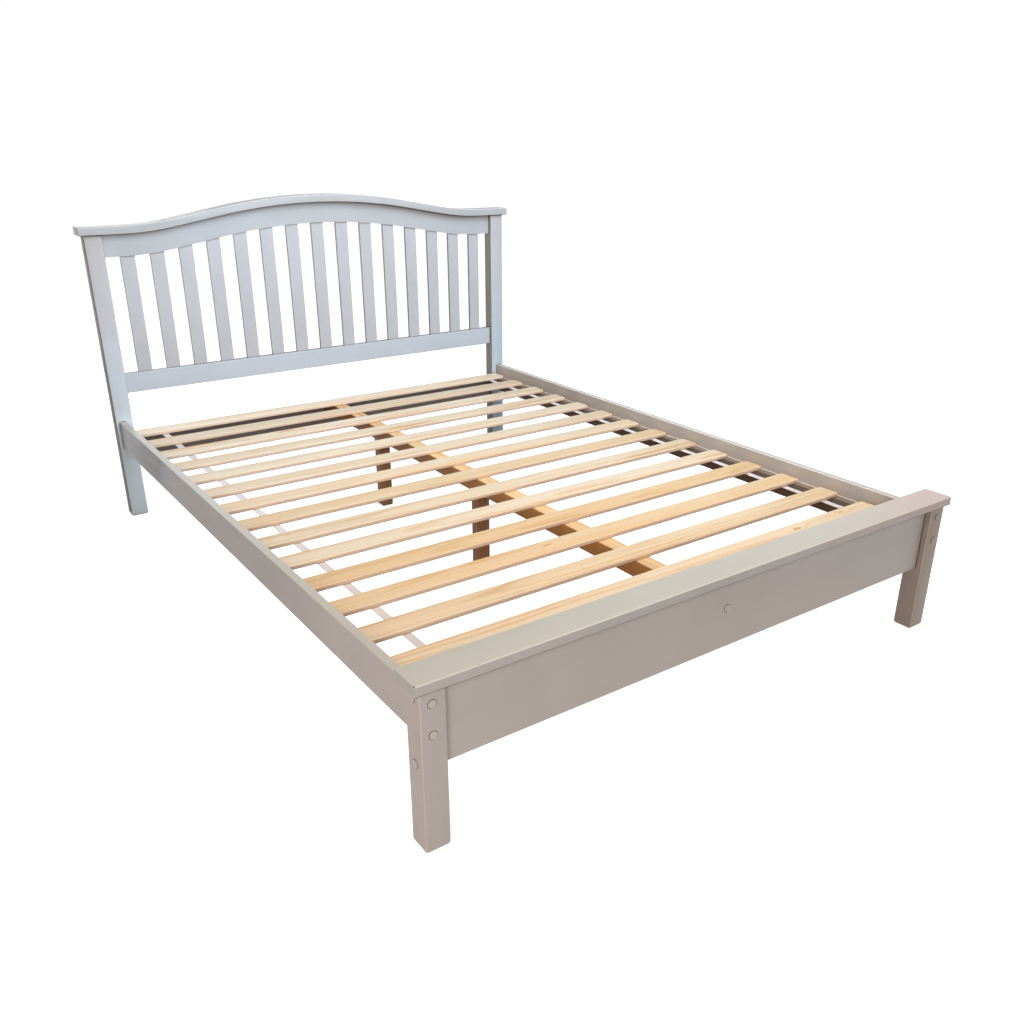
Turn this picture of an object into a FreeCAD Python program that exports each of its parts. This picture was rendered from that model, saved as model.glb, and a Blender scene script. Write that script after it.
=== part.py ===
"""Painted wooden bedstead with an arched, spindled headboard and a low panelled foot end.

X runs across the bed, Y from the foot end to the head end and Z up from the floor. The origin is on the floor in the
middle of the part's box. Lengths are in millimetres and angles in degrees.
"""
import FreeCAD, Part
import math
import os
import re

import Sketcher
from FreeCAD import Placement, Rotation, Vector

# Driving lengths. Each one is written once here, and every piece reads it from the sheet.
LENGTHS = {
    # The mattress that the bedstead takes, and the room left round it
    "mattress_width": 1500,
    "mattress_length": 2000,
    "mattress_side_clearance": 9.5,
    "mattress_end_clearance": 3,
    # Foot end
    "foot_post_width": 54.5,
    "foot_post_depth": 52.5,
    "foot_post_height": 356,
    "foot_panel_thickness": 18,
    "foot_panel_recess": 17,
    "foot_panel_bottom": 179.5,
    "foot_panel_tongue": 10,
    "foot_cap_thickness": 23,
    "foot_cap_front_overhang": 9,
    "foot_cap_rear_overhang": 17,
    "foot_cap_side_overhang": 13,
    "foot_cap_corner_rounding": 4,
    "foot_cap_edge_chamfer": 1.5,
    # Head end
    "head_post_width": 54.5,
    "head_post_depth": 48.5,
    "head_post_height": 946.5,
    "headboard_thickness": 20,
    "top_rail_height": 70,
    "lower_rail_height": 67,
    "lower_rail_bottom": 433,
    "cross_rail_height": 95,
    "cross_rail_bottom": 198,
    "rail_tenon_length": 20,
    "rail_tenon_thickness": 10,
    "rail_tenon_shoulder": 12,
    # Arch of the headboard, and the moulding that covers it
    "arch_rise": 74,
    "arch_level_end": 62,
    "head_cap_thickness": 26,
    "head_cap_front_overhang": 11,
    "head_cap_rear_overhang": 5,
    "head_cap_side_overhang": 17,
    "head_cap_corner_rounding": 3,
    "head_cap_edge_chamfer": 1.5,
    # Spindles of the headboard
    "spindle_width": 45.5,
    "spindle_thickness": 12,
    "spindle_edge_chamfer": 1,
    "spindle_tenon_shoulder": 7,
    "spindle_tenon_thickness": 8,
    "spindle_tenon_length": 14,
    # Side rails, and the bearers along their inner faces
    "side_rail_height": 95,
    "side_rail_thickness": 22,
    "side_rail_inset": 10,
    "side_rail_bottom": 247,
    "bearer_height": 49,
    "bearer_width": 30,
    # Centre rail and its legs
    "centre_rail_width": 46,
    "centre_rail_height": 46,
    "centre_leg_width": 40,
    # Slats, and the two tapes that hold them apart
    "slat_width": 65,
    "slat_thickness": 11,
    "slat_end_clearance": 9,
    "slat_head_clearance": 18,
    "slat_foot_clearance": 120,
    "slat_corner_rounding": 8,
    "slat_edge_chamfer": 1.5,
    "tape_width": 20,
    "tape_thickness": 1,
    "tape_clearance": 0.3,
    "tape_left_inset": 138,
    "tape_right_inset": 104,
    # Rounded and chamfered edges of the square timber
    "post_rounding": 3,
    "post_foot_chamfer": 2.5,
    "rail_rounding": 2.5,
    "centre_rounding": 2.5,
    "centre_leg_foot_chamfer": 2,
    # Cover caps over the heads of the connecting bolts
    "cover_cap_diameter": 20,
    "cover_cap_thickness": 2,
    "cover_cap_chamfer": 1,
    "bolt_side_inset": 25.5,
    "rail_bolt_edge_distance": 14.5,
    "panel_bolt_rise": 15,
    "panel_bolt_drop": 20,
    "centre_bolt_drop": 16,
    # Clearances of the joints, and how far a cut starts outside the wood
    "mortise_clearance": 0.2,
    "mortise_end_gap": 0.8,
    "shoulder_gap": 0.2,
    "overrun": 1,
}

ANGLES = {"arch_slope_angle": 10}

COUNTS = {"spindle_count": 15, "slat_count": 14}

# The crown's share of the sum of the arch's radii, and the centre legs' places from the foot end of their rail
SHARES = {"crown_radius_share": 0.679, "front_leg_share": 0.485, "rear_leg_share": 0.799}

# Sizes that follow from the driving ones
DERIVED = {
    "inner_width": "mattress_width + 2 * mattress_side_clearance",
    "outer_width": "inner_width + 2 * side_rail_thickness + 2 * side_rail_inset",
    "foot_cap_depth": "foot_cap_front_overhang + foot_post_depth + foot_cap_rear_overhang",
    "headboard_recess": "(head_post_depth - headboard_thickness) / 2",
    "clear_length": "mattress_length + 2 * mattress_end_clearance",
    "overall_length": "foot_cap_depth + clear_length + head_post_depth + head_cap_rear_overhang",
    "foot_post_front_y": "foot_cap_front_overhang - overall_length / 2",
    "foot_post_back_y": "foot_post_front_y + foot_post_depth",
    "foot_panel_front_y": "foot_post_front_y + foot_panel_recess",
    "foot_panel_middle_y": "foot_panel_front_y + foot_panel_thickness / 2",
    "foot_panel_back_y": "foot_panel_front_y + foot_panel_thickness",
    "head_post_front_y": "foot_post_back_y + foot_cap_rear_overhang + clear_length",
    "head_post_back_y": "head_post_front_y + head_post_depth",
    "headboard_front_y": "head_post_front_y + headboard_recess",
    "headboard_middle_y": "headboard_front_y + headboard_thickness / 2",
    "headboard_back_y": "headboard_front_y + headboard_thickness",
    "head_cap_depth": "head_cap_front_overhang + head_post_depth + head_cap_rear_overhang",
    "head_cap_middle_y": "head_post_back_y + head_cap_rear_overhang - head_cap_depth / 2",
    "foot_post_x": "(outer_width - foot_post_width) / 2",
    "head_post_x": "(outer_width - head_post_width) / 2",
    "foot_span": "outer_width - 2 * foot_post_width",
    "head_span": "outer_width - 2 * head_post_width",
    "head_cap_length": "outer_width + 2 * head_cap_side_overhang",
    "side_rail_length": "head_post_front_y - foot_post_back_y",
    "side_rail_middle_y": "(foot_post_back_y + head_post_front_y) / 2",
    "side_rail_x": "(inner_width + side_rail_thickness) / 2",
    "side_rail_top": "side_rail_bottom + side_rail_height",
    "bearer_x": "(inner_width - bearer_width) / 2",
    "deck_bottom": "side_rail_bottom + bearer_height",
    "centre_rail_bottom": "deck_bottom - centre_rail_height",
    "centre_rail_length": "headboard_front_y - foot_panel_back_y",
    "slat_length": "inner_width - 2 * slat_end_clearance",
    "first_slat_y": "headboard_front_y - slat_head_clearance - slat_width / 2",
    "last_slat_y": "foot_panel_back_y + slat_foot_clearance + slat_width / 2",
    "slat_pitch": "(first_slat_y - last_slat_y) / (slat_count - 1)",
    "tape_length": "first_slat_y - last_slat_y + slat_width",
    "top_rail_bottom": "head_post_height - top_rail_height",
    "head_cap_top": "head_post_height + head_cap_thickness",
    "lower_rail_top": "lower_rail_bottom + lower_rail_height",
    "spindle_gap": "(head_span - spindle_count * spindle_width) / (spindle_count + 1)",
    "spindle_pitch": "spindle_gap + spindle_width",
    "spindle_tenon_width": "spindle_width - 2 * spindle_tenon_shoulder",
    "bolt_x": "outer_width / 2 - bolt_side_inset",
    "lower_bolt_z": "side_rail_bottom + rail_bolt_edge_distance",
    "upper_bolt_z": "side_rail_top - rail_bolt_edge_distance",
    "lower_panel_bolt_z": "foot_panel_bottom + panel_bolt_rise",
    "upper_panel_bolt_z": "foot_post_height - panel_bolt_drop",
    "centre_bolt_z": "deck_bottom - centre_bolt_drop",
    # The arch runs from level ends over a shoulder arc, a straight slope and the crown arc
    "arch_sine": "sin(arch_slope_angle * 1 deg)",
    "arch_cosine": "cos(arch_slope_angle * 1 deg)",
    "arch_half_run": "head_span / 2 - arch_level_end",
    "arch_radii": "(arch_half_run * arch_sine - arch_rise * arch_cosine) / (1 - arch_cosine)",
    "crown_radius": "arch_radii * crown_radius_share",
    "shoulder_radius": "arch_radii - crown_radius",
}

# Two places nearer than this count as one
SAME = 1e-4

SIDES = {"left": -1, "right": 1}

# Turns the Z axis to a direction
ALONG = {
    "+X": Rotation(Vector(0, 1, 0), 90),
    "-X": Rotation(Vector(0, 1, 0), -90),
    "+Y": Rotation(Vector(1, 0, 0), -90),
    "-Y": Rotation(Vector(1, 0, 0), 90),
}

document = FreeCAD.newDocument("bed_frame")
sizes = document.addObject("Spreadsheet::Sheet", "Sizes")
derived = document.addObject("Spreadsheet::Sheet", "Derived")
subparts = []


def formula(text):
    """Puts the sheet's name before each size in a sum, as expressions need it."""

    def with_sheet(match):
        word = match.group()
        if word in DERIVED:
            return f"Derived.{word}"
        if any(word in table for table in (LENGTHS, ANGLES, COUNTS, SHARES)):
            return f"Sizes.{word}"
        return word

    return re.sub(r"[a-z][a-z0-9_]*", with_sheet, text)


def value(text):
    """Works out a sum of sizes."""
    return float(derived.evalExpression(formula(text)))


def fill_sheets():
    """Writes the driving sizes and those that follow from them."""
    for row, (alias, number) in enumerate({**LENGTHS, **ANGLES, **COUNTS, **SHARES}.items(), start=1):
        sizes.set(f"A{row}", alias)
        sizes.set(f"B{row}", str(number))
        sizes.setAlias(f"B{row}", alias)
    document.recompute()
    for row, (alias, text) in enumerate(DERIVED.items(), start=1):
        derived.set(f"A{row}", alias)
        derived.set(f"B{row}", "=" + formula(text))
        derived.setAlias(f"B{row}", alias)
    document.recompute()


def bind(item, **sums):
    """Binds properties of an object to sums of sizes."""
    for name, text in sums.items():
        item.setExpression(name, formula(text))


def bind_place(item, x="0", y="0", z="0", placement="Placement"):
    """Binds the place of an object to sums of sizes."""
    for axis, text in zip("xyz", (x, y, z)):
        item.setExpression(f".{placement}.Base.{axis}", formula(text))


def new_body(label, x="0", y="0", z="0"):
    """Starts a sub-part at a place given by sums of sizes."""
    body = document.addObject("PartDesign::Body", label)
    body.Label = label
    bind_place(body, x, y, z)
    subparts.append(body)
    return body


def new_sketch(body, plane, x="0", y="0"):
    """Starts a sketch on one of the body's origin planes, moved in that plane by sums of sizes."""
    sketch = body.newObject("Sketcher::SketchObject", f"{body.Name}_sketch")
    support = next(item for item in body.Origin.OriginFeatures if item.Role == plane)
    sketch.AttachmentSupport = (support, [""])
    sketch.MapMode = "FlatFace"
    bind_place(sketch, x, y, placement="AttachmentOffset")
    return sketch


def dimension(sketch, kind, *places, size):
    """Adds a dimension to a sketch and binds it to a sum of sizes."""
    number = sketch.addConstraint(Sketcher.Constraint(kind, *places, value(size)))
    sketch.setExpression(f"Constraints[{number}]", formula(size))


def draw_rectangle(sketch, width, height):
    """Draws a rectangle from the sketch's origin."""
    across = value(width)
    up = value(height)
    corners = [Vector(0, 0, 0), Vector(across, 0, 0), Vector(across, up, 0), Vector(0, up, 0)]
    for start, end in zip(corners, corners[1:] + corners[:1]):
        sketch.addGeometry(Part.LineSegment(start, end))
    for line, kind in enumerate(("Horizontal", "Vertical", "Horizontal", "Vertical")):
        sketch.addConstraint(Sketcher.Constraint("Coincident", line, 2, (line + 1) % len(corners), 1))
        sketch.addConstraint(Sketcher.Constraint(kind, line))
    sketch.addConstraint(Sketcher.Constraint("Coincident", 0, 1, -1, 1))
    dimension(sketch, "DistanceX", 0, 1, 0, 2, size=width)
    dimension(sketch, "DistanceY", 1, 1, 1, 2, size=height)


def pad(body, sketch, length, midplane=False):
    """Pads a sketch, and computes it so that its edges can be picked."""
    feature = body.newObject("PartDesign::Pad", f"{body.Name}_pad")
    feature.Profile = sketch
    feature.Midplane = midplane
    bind(feature, Length=length)
    document.recompute()


def board(label, width, depth, height, x="0", y="0", z="0"):
    """Starts a sub-part as a plain board, centred on X and Y and standing on its place."""
    body = new_body(label, x, y, z)
    sketch = new_sketch(body, "XY_Plane", f"-({width}) / 2", f"-({depth}) / 2")
    draw_rectangle(sketch, width, depth)
    pad(body, sketch, height)
    return body


def runs_along(axis):
    """Gives a test for straight edges that run along one axis."""
    others = [name for name in "xyz" if name != axis]

    def test(first, last):
        return all(abs(getattr(first, name) - getattr(last, name)) < SAME for name in others)

    return test


def is_level(first, last):
    """Tests for edges whose ends are at one height."""
    return abs(first.z - last.z) < SAME


def is_at_foot(first, last):
    """Tests for edges at the bottom of a piece."""
    return max(first.z, last.z) < SAME


def dress(body, kind, property_name, size, test):
    """Rounds or chamfers the edges that a test picks by their two ends."""
    base = body.Tip
    names = []
    for number, edge in enumerate(base.Shape.Edges, start=1):
        if test(edge.valueAt(edge.FirstParameter), edge.valueAt(edge.LastParameter)):
            names.append(f"Edge{number}")
    feature = body.newObject(f"PartDesign::{kind}", f"{body.Name}_{kind.lower()}")
    feature.Base = (base, names)
    bind(feature, **{property_name: size})
    document.recompute()


def fillet(body, size, test):
    """Rounds the edges that a test picks."""
    dress(body, "Fillet", "Radius", size, test)


def chamfer(body, size, test):
    """Chamfers the edges that a test picks."""
    dress(body, "Chamfer", "Size", size, test)


def block(body, kind, width, depth, height, x="0", y="0", z="0"):
    """Adds or cuts a block, centred on X and Y and standing on its place."""
    item = body.newObject(f"PartDesign::{kind}Box", f"{body.Name}_{kind.lower()}")
    bind(item, Length=width, Width=depth, Height=height)
    bind_place(item, f"{x} - ({width}) / 2", f"{y} - ({depth}) / 2", z)
    return item


def repeat_along_x(body, feature, pitch, count):
    """Repeats a feature of a body along X."""
    pattern = body.newObject("PartDesign::LinearPattern", f"{body.Name}_pattern")
    pattern.Originals = [feature]
    pattern.Direction = (next(item for item in body.Origin.OriginFeatures if item.Role == "X_Axis"), [""])
    bind(pattern, Length=f"({count} - 1) * {pitch}", Occurrences=count)
    body.Tip = pattern


def make_posts(name, middle_y):
    """Makes a pair of square posts with rounded corners and chamfered feet."""
    posts = {}
    for side, sign in SIDES.items():
        width = f"{name}_post_width"
        depth = f"{name}_post_depth"
        body = board(f"{name}_post_{side}", width, depth, f"{name}_post_height", f"{sign} * {name}_post_x", middle_y)
        fillet(body, "post_rounding", runs_along("z"))
        chamfer(body, "post_foot_chamfer", is_at_foot)
        posts[sign] = body
    return posts


def make_foot_end():
    """Makes the foot posts, the panel tongued into them and the cap board over them."""
    middle_y = "(foot_post_front_y + foot_post_back_y) / 2"
    for sign, body in make_posts("foot", middle_y).items():
        # Groove for the panel, open at the top
        block(body, "Subtractive", "foot_panel_tongue + 2 * mortise_end_gap",
              "foot_panel_thickness + 2 * mortise_clearance",
              "foot_post_height - foot_panel_bottom + mortise_clearance + overrun",
              f"{-sign} * (foot_post_width - foot_panel_tongue) / 2", f"foot_panel_middle_y - {middle_y}",
              "foot_panel_bottom - mortise_clearance")

    panel = board("foot_panel", "foot_span + 2 * foot_panel_tongue", "foot_panel_thickness",
                  "foot_post_height - foot_panel_bottom", "0", "foot_panel_middle_y", "foot_panel_bottom")
    fillet(panel, "rail_rounding", lambda first, last: runs_along("x")(first, last) and is_at_foot(first, last))

    cap = board("foot_cap_board", "outer_width + 2 * foot_cap_side_overhang", "foot_cap_depth",
                "foot_cap_thickness", "0",
                "foot_post_front_y - foot_cap_front_overhang + foot_cap_depth / 2", "foot_post_height")
    fillet(cap, "foot_cap_corner_rounding", runs_along("z"))
    chamfer(cap, "foot_cap_edge_chamfer", is_level)


def make_head_posts():
    """Makes the head posts with the mortises of the three rails between them."""
    rails = {
        "top_rail_bottom": "top_rail_height",
        "lower_rail_bottom": "lower_rail_height",
        "cross_rail_bottom": "cross_rail_height",
    }
    for sign, body in make_posts("head", "(head_post_front_y + head_post_back_y) / 2").items():
        for bottom, height in rails.items():
            block(body, "Subtractive", "rail_tenon_length + 2 * mortise_end_gap",
                  "rail_tenon_thickness + 2 * mortise_clearance",
                  f"{height} - 2 * rail_tenon_shoulder + 2 * mortise_clearance",
                  f"{-sign} * (head_post_width - rail_tenon_length) / 2", "0",
                  f"{bottom} + rail_tenon_shoulder - mortise_clearance")


def add_rail_tenons(body, bottom, height):
    """Adds the tenons that seat a headboard rail in its posts."""
    for sign in SIDES.values():
        block(body, "Additive", "rail_tenon_length", "rail_tenon_thickness",
              f"{height} - 2 * rail_tenon_shoulder", f"{sign} * (head_span + rail_tenon_length) / 2", "0",
              f"{bottom} + rail_tenon_shoulder")


def arch_curve(half_length, base_height):
    """Gives the edges of an arched line from its left end to its right end."""
    crown = value("crown_radius")
    shoulder = value("shoulder_radius")
    sine = value("arch_sine")
    rise = value("arch_rise")
    drop_share = 1 - value("arch_cosine")
    half_angle = math.radians(value("arch_slope_angle") / 2)
    run = value("arch_half_run")
    places = {
        "end": (half_length, 0),
        "level": (run, 0),
        "shoulder": (run - shoulder * math.sin(half_angle), shoulder * (1 - math.cos(half_angle))),
        "slope_foot": (run - shoulder * sine, shoulder * drop_share),
        "slope_head": (crown * sine, rise - crown * drop_share),
        "crown": (0, rise),
    }
    left = {name: Vector(-x, base_height + z, 0) for name, (x, z) in places.items()}
    right = {name: Vector(x, base_height + z, 0) for name, (x, z) in places.items()}
    return [
        Part.LineSegment(left["end"], left["level"]),
        Part.Arc(left["level"], left["shoulder"], left["slope_foot"]),
        Part.LineSegment(left["slope_foot"], left["slope_head"]),
        Part.Arc(left["slope_head"], left["crown"], right["slope_head"]),
        Part.LineSegment(right["slope_head"], right["slope_foot"]),
        Part.Arc(right["slope_foot"], right["shoulder"], right["level"]),
        Part.LineSegment(right["level"], right["end"]),
    ]


def arch_height(x):
    """Gives how far the arch stands over its level ends at a place across the bed."""
    crown = value("crown_radius")
    shoulder = value("shoulder_radius")
    sine = value("arch_sine")
    run = value("arch_half_run")
    place = abs(x)
    if place <= crown * sine:
        return value("arch_rise") - crown + math.sqrt(crown**2 - place**2)
    if place <= run - shoulder * sine:
        slope = sine / value("arch_cosine")
        return shoulder * (1 - value("arch_cosine")) + (run - shoulder * sine - place) * slope
    if place <= run:
        return shoulder - math.sqrt(shoulder**2 - (run - place) ** 2)
    return 0.0


def draw_arched_line(sketch, half_length, base_height):
    """Draws an arched line in a sketch and binds it, and gives its first and last piece."""
    first = sketch.GeometryCount
    for edge in arch_curve(value(half_length), value(base_height)):
        sketch.addGeometry(edge)
    level_left, arc_left, slope_left, crown, slope_right, arc_right, level_right = range(first, sketch.GeometryCount)
    # An arc of a sketch runs counter-clockwise, so the crown's starts at its right end
    joints = [
        (level_left, 2, arc_left, 1),
        (arc_left, 2, slope_left, 1),
        (slope_left, 2, crown, 2),
        (crown, 1, slope_right, 1),
        (slope_right, 2, arc_right, 1),
        (arc_right, 2, level_right, 1),
    ]
    for joint in joints:
        sketch.addConstraint(Sketcher.Constraint("Tangent", *joint))
    for line in (level_left, level_right):
        sketch.addConstraint(Sketcher.Constraint("Horizontal", line))
    sketch.addConstraint(Sketcher.Constraint("PointOnObject", crown, 3, -2))
    dimension(sketch, "Radius", crown, size="crown_radius")
    for arc in (arc_left, arc_right):
        dimension(sketch, "Radius", arc, size="shoulder_radius")
    dimension(sketch, "DistanceX", level_left, 1, -1, 1, size=half_length)
    dimension(sketch, "DistanceX", -1, 1, level_right, 2, size=half_length)
    for line, end in ((level_left, 1), (level_right, 2)):
        dimension(sketch, "DistanceY", -1, 1, line, end, size=base_height)
    dimension(sketch, "DistanceY", crown, 3, -1, 1, size=f"crown_radius - arch_rise - {base_height}")
    return (level_left, 1), (level_right, 2)


def arched_body(label, half_length, low, high, depth, y):
    """Makes an arched rail or moulding between two arched lines, centred on its depth."""
    body = new_body(label, y=y)
    sketch = new_sketch(body, "XZ_Plane")
    lower_ends = draw_arched_line(sketch, half_length, low)
    upper_ends = draw_arched_line(sketch, half_length, high)
    for (low_line, low_end), (high_line, high_end) in zip(lower_ends, upper_ends):
        start = sketch.getPoint(low_line, low_end)
        end = sketch.getPoint(high_line, high_end)
        side = sketch.addGeometry(Part.LineSegment(start, end))
        sketch.addConstraint(Sketcher.Constraint("Coincident", side, 1, low_line, low_end))
        sketch.addConstraint(Sketcher.Constraint("Coincident", side, 2, high_line, high_end))
    pad(body, sketch, depth, midplane=True)
    return body


def spindle_places():
    """Gives the middles of the spindles across the bed, from left to right."""
    count = int(value("spindle_count"))
    return [f"{number - (count - 1) / 2} * spindle_pitch" for number in range(count)]


def mortise(body, x, z, height):
    """Cuts a mortise for a spindle's tenon into a headboard rail."""
    return block(body, "Subtractive", "spindle_tenon_width + 2 * mortise_clearance",
                 "spindle_tenon_thickness + 2 * mortise_clearance", height, x, "0", z)


def make_headboard_rails():
    """Makes the arched top rail, the lower rail and the cross rail that carries the centre rail's head end."""
    top = arched_body("headboard_top_rail", "head_span / 2", "top_rail_bottom", "head_post_height",
                      "headboard_thickness", "headboard_middle_y")
    add_rail_tenons(top, "top_rail_bottom", "top_rail_height")
    for place in spindle_places():
        mouth = f"top_rail_bottom + {arch_height(value(place))}"
        mortise(top, place, f"{mouth} - spindle_tenon_length", "2 * spindle_tenon_length + mortise_end_gap")

    lower = board("headboard_lower_rail", "head_span", "headboard_thickness", "lower_rail_height", "0",
                  "headboard_middle_y", "lower_rail_bottom")
    fillet(lower, "rail_rounding", runs_along("x"))
    add_rail_tenons(lower, "0", "lower_rail_height")
    first = mortise(lower, spindle_places()[0], "lower_rail_height - spindle_tenon_length - mortise_end_gap",
                    "spindle_tenon_length + mortise_end_gap + overrun")
    repeat_along_x(lower, first, "spindle_pitch", "spindle_count")

    cross = board("head_cross_rail", "head_span", "headboard_thickness", "cross_rail_height", "0",
                  "headboard_middle_y", "cross_rail_bottom")
    fillet(cross, "rail_rounding", runs_along("x"))
    add_rail_tenons(cross, "0", "cross_rail_height")


def make_head_cap():
    """Makes the arched moulding that covers the headboard and its posts."""
    cap = arched_body("headboard_cap_moulding", "head_cap_length / 2", "head_post_height", "head_cap_top",
                      "head_cap_depth", "head_cap_middle_y")
    fillet(cap, "head_cap_corner_rounding", runs_along("z"))

    def is_long_edge(first, last):
        return not runs_along("y")(first, last) and not runs_along("z")(first, last)

    chamfer(cap, "head_cap_edge_chamfer", is_long_edge)


def make_spindles():
    """Makes the flat spindles, scribed to the arch at their tops, with a tenon at both ends."""
    half = value("spindle_width") / 2
    for number, place in enumerate(spindle_places(), start=1):
        body = new_body(f"headboard_spindle_{number:02d}", place, "headboard_middle_y")
        middle = value(place)
        left, centre, right = (arch_height(middle + offset) for offset in (-half, 0, half))
        rail = "top_rail_bottom - shoulder_gap"
        low = value("lower_rail_top")
        crown = [Vector(x, value(rail) + z, 0) for x, z in ((half, right), (0, centre), (-half, left))]
        straight = abs(centre - (left + right) / 2) < SAME
        sketch = new_sketch(body, "XZ_Plane")
        sketch.addGeometry(Part.LineSegment(Vector(-half, low, 0), Vector(half, low, 0)))
        sketch.addGeometry(Part.LineSegment(Vector(half, low, 0), crown[0]))
        sketch.addGeometry(Part.LineSegment(crown[0], crown[2]) if straight else Part.Arc(*crown))
        sketch.addGeometry(Part.LineSegment(crown[2], Vector(-half, low, 0)))
        sketch.addConstraint(Sketcher.Constraint("Coincident", 0, 2, 1, 1))
        sketch.addConstraint(Sketcher.Constraint("Coincident", 3, 2, 0, 1))
        sketch.addConstraint(Sketcher.Constraint("Horizontal", 0))
        for line in (1, 3):
            sketch.addConstraint(Sketcher.Constraint("Vertical", line))
        for line, end in ((1, 2), (3, 1)):
            near = min((1, 2), key=lambda point: (sketch.getPoint(2, point) - sketch.getPoint(line, end)).Length)
            sketch.addConstraint(Sketcher.Constraint("Coincident", line, end, 2, near))
        dimension(sketch, "DistanceX", 0, 1, -1, 1, size="spindle_width / 2")
        dimension(sketch, "DistanceX", 0, 1, 0, 2, size="spindle_width")
        dimension(sketch, "DistanceY", -1, 1, 0, 1, size="lower_rail_top")
        dimension(sketch, "DistanceY", -1, 1, 1, 2, size=f"{rail} + {right}")
        dimension(sketch, "DistanceY", -1, 1, 3, 1, size=f"{rail} + {left}")
        pad(body, sketch, "spindle_thickness", midplane=True)
        chamfer(body, "spindle_edge_chamfer", runs_along("z"))
        shoulder = min(left, right)
        block(body, "Additive", "spindle_tenon_width", "spindle_tenon_thickness",
              f"spindle_tenon_length + shoulder_gap + {centre - shoulder} + overrun", "0", "0",
              f"{rail} + {shoulder} - overrun")
        block(body, "Additive", "spindle_tenon_width", "spindle_tenon_thickness",
              "spindle_tenon_length + overrun", "0", "0", "lower_rail_top - spindle_tenon_length")


def make_sides():
    """Makes the side rails, and the bearers along their inner faces."""
    for side, sign in SIDES.items():
        rail = board(f"side_rail_{side}", "side_rail_thickness", "side_rail_length", "side_rail_height",
                     f"{sign} * side_rail_x", "side_rail_middle_y", "side_rail_bottom")
        fillet(rail, "rail_rounding", runs_along("y"))
        board(f"slat_bearer_{side}", "bearer_width", "side_rail_length", "bearer_height", f"{sign} * bearer_x",
              "side_rail_middle_y", "side_rail_bottom")


def make_centre():
    """Makes the centre rail, and the legs that carry it."""
    rail = board("centre_rail", "centre_rail_width", "centre_rail_length", "centre_rail_height", "0",
                 "(foot_panel_back_y + headboard_front_y) / 2", "centre_rail_bottom")
    fillet(rail, "centre_rounding", runs_along("y"))
    for name in ("front", "rear"):
        leg = board(f"centre_leg_{name}", "centre_leg_width", "centre_leg_width", "centre_rail_bottom", "0",
                    f"foot_panel_back_y + {name}_leg_share * centre_rail_length")
        fillet(leg, "centre_rounding", runs_along("z"))
        chamfer(leg, "centre_leg_foot_chamfer", is_at_foot)


def make_slats():
    """Makes the slats, counted from the head end, with rounded corners and eased top edges."""
    for number in range(int(value("slat_count"))):
        slat = board(f"bed_slat_{number + 1:02d}", "slat_length", "slat_width", "slat_thickness", "0",
                     f"first_slat_y - {number} * slat_pitch", "deck_bottom")
        fillet(slat, "slat_corner_rounding", runs_along("z"))
        chamfer(slat, "slat_edge_chamfer", lambda first, last: is_level(first, last) and first.z > SAME)


def make_tapes():
    """Makes the two tapes that run under the slats."""
    insets = {"left": "tape_left_inset", "right": "tape_right_inset"}
    for side, sign in SIDES.items():
        tape = document.addObject("Part::Box", f"webbing_tape_{side}")
        tape.Label = f"webbing_tape_{side}"
        bind(tape, Length="tape_width", Width="tape_length", Height="tape_thickness")
        bind_place(tape, f"{sign} * (outer_width / 2 - {insets[side]}) - tape_width / 2",
                   "last_slat_y - slat_width / 2",
                   "deck_bottom - tape_thickness - tape_clearance")
        subparts.append(tape)


def make_cover_caps():
    """Makes the round caps over the heads of the connecting bolts, as one node of separate solids."""
    places = []
    for sign in SIDES.values():
        outward = "+X" if sign > 0 else "-X"
        for height in ("lower_bolt_z", "upper_bolt_z"):
            places.append(("-Y", f"{sign} * bolt_x", "foot_post_front_y", height))
            places.append(("+Y", f"{sign} * bolt_x", "head_post_back_y", height))
        for height in ("lower_panel_bolt_z", "upper_panel_bolt_z"):
            places.append((outward, f"{sign} * outer_width / 2", "foot_panel_middle_y", height))
    places.append(("-Y", "0", "foot_panel_front_y", "centre_bolt_z"))
    places.append(("+Y", "0", "headboard_back_y", "centre_bolt_z"))

    radius = value("cover_cap_diameter / 2")
    thickness = value("cover_cap_thickness")
    bevel = value("cover_cap_chamfer")
    outline = [(0, 0), (radius, 0), (radius, thickness - bevel), (radius - bevel, thickness), (0, thickness)]
    corners = [Vector(out, 0, up) for out, up in outline]
    profile = Part.Face(Part.makePolygon(corners + corners[:1]))
    cap = profile.revolve(Vector(), Vector(0, 0, 1), 360)
    solids = []
    for direction, x, y, z in places:
        solid = cap.copy()
        solid.Placement = Placement(Vector(value(x), value(y), value(z)), ALONG[direction])
        solids.append(solid)
    caps = document.addObject("Part::Feature", "bolt_cover_caps")
    caps.Label = "bolt_cover_caps"
    caps.Shape = Part.makeCompound(solids)
    caps.Placement = Placement()
    subparts.append(caps)


def check_and_write():
    """Checks every object and writes one file for each sub-part."""
    document.recompute()
    for item in document.Objects:
        if {"Invalid", "Error"} & set(item.State):
            raise RuntimeError(f"{item.Label} ({item.Name}) failed: {item.State}")
    os.makedirs("parts", exist_ok=True)
    for item in subparts:
        shape = item.Shape
        if shape.isNull() or not shape.isValid() or shape.Volume <= 0:
            raise RuntimeError(f"{item.Label} has no valid shape")
        box = shape.BoundBox
        print(f"{item.Label}: {len(shape.Solids)} solid(s), {shape.Volume / 1000:.1f} cm3, "
              f"X {box.XMin:.1f} to {box.XMax:.1f}, Y {box.YMin:.1f} to {box.YMax:.1f}, "
              f"Z {box.ZMin:.1f} to {box.ZMax:.1f}")
        shape.exportStep(f"parts/{item.Label}.step")
    print(f"{len(subparts)} sub-parts written")


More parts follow.
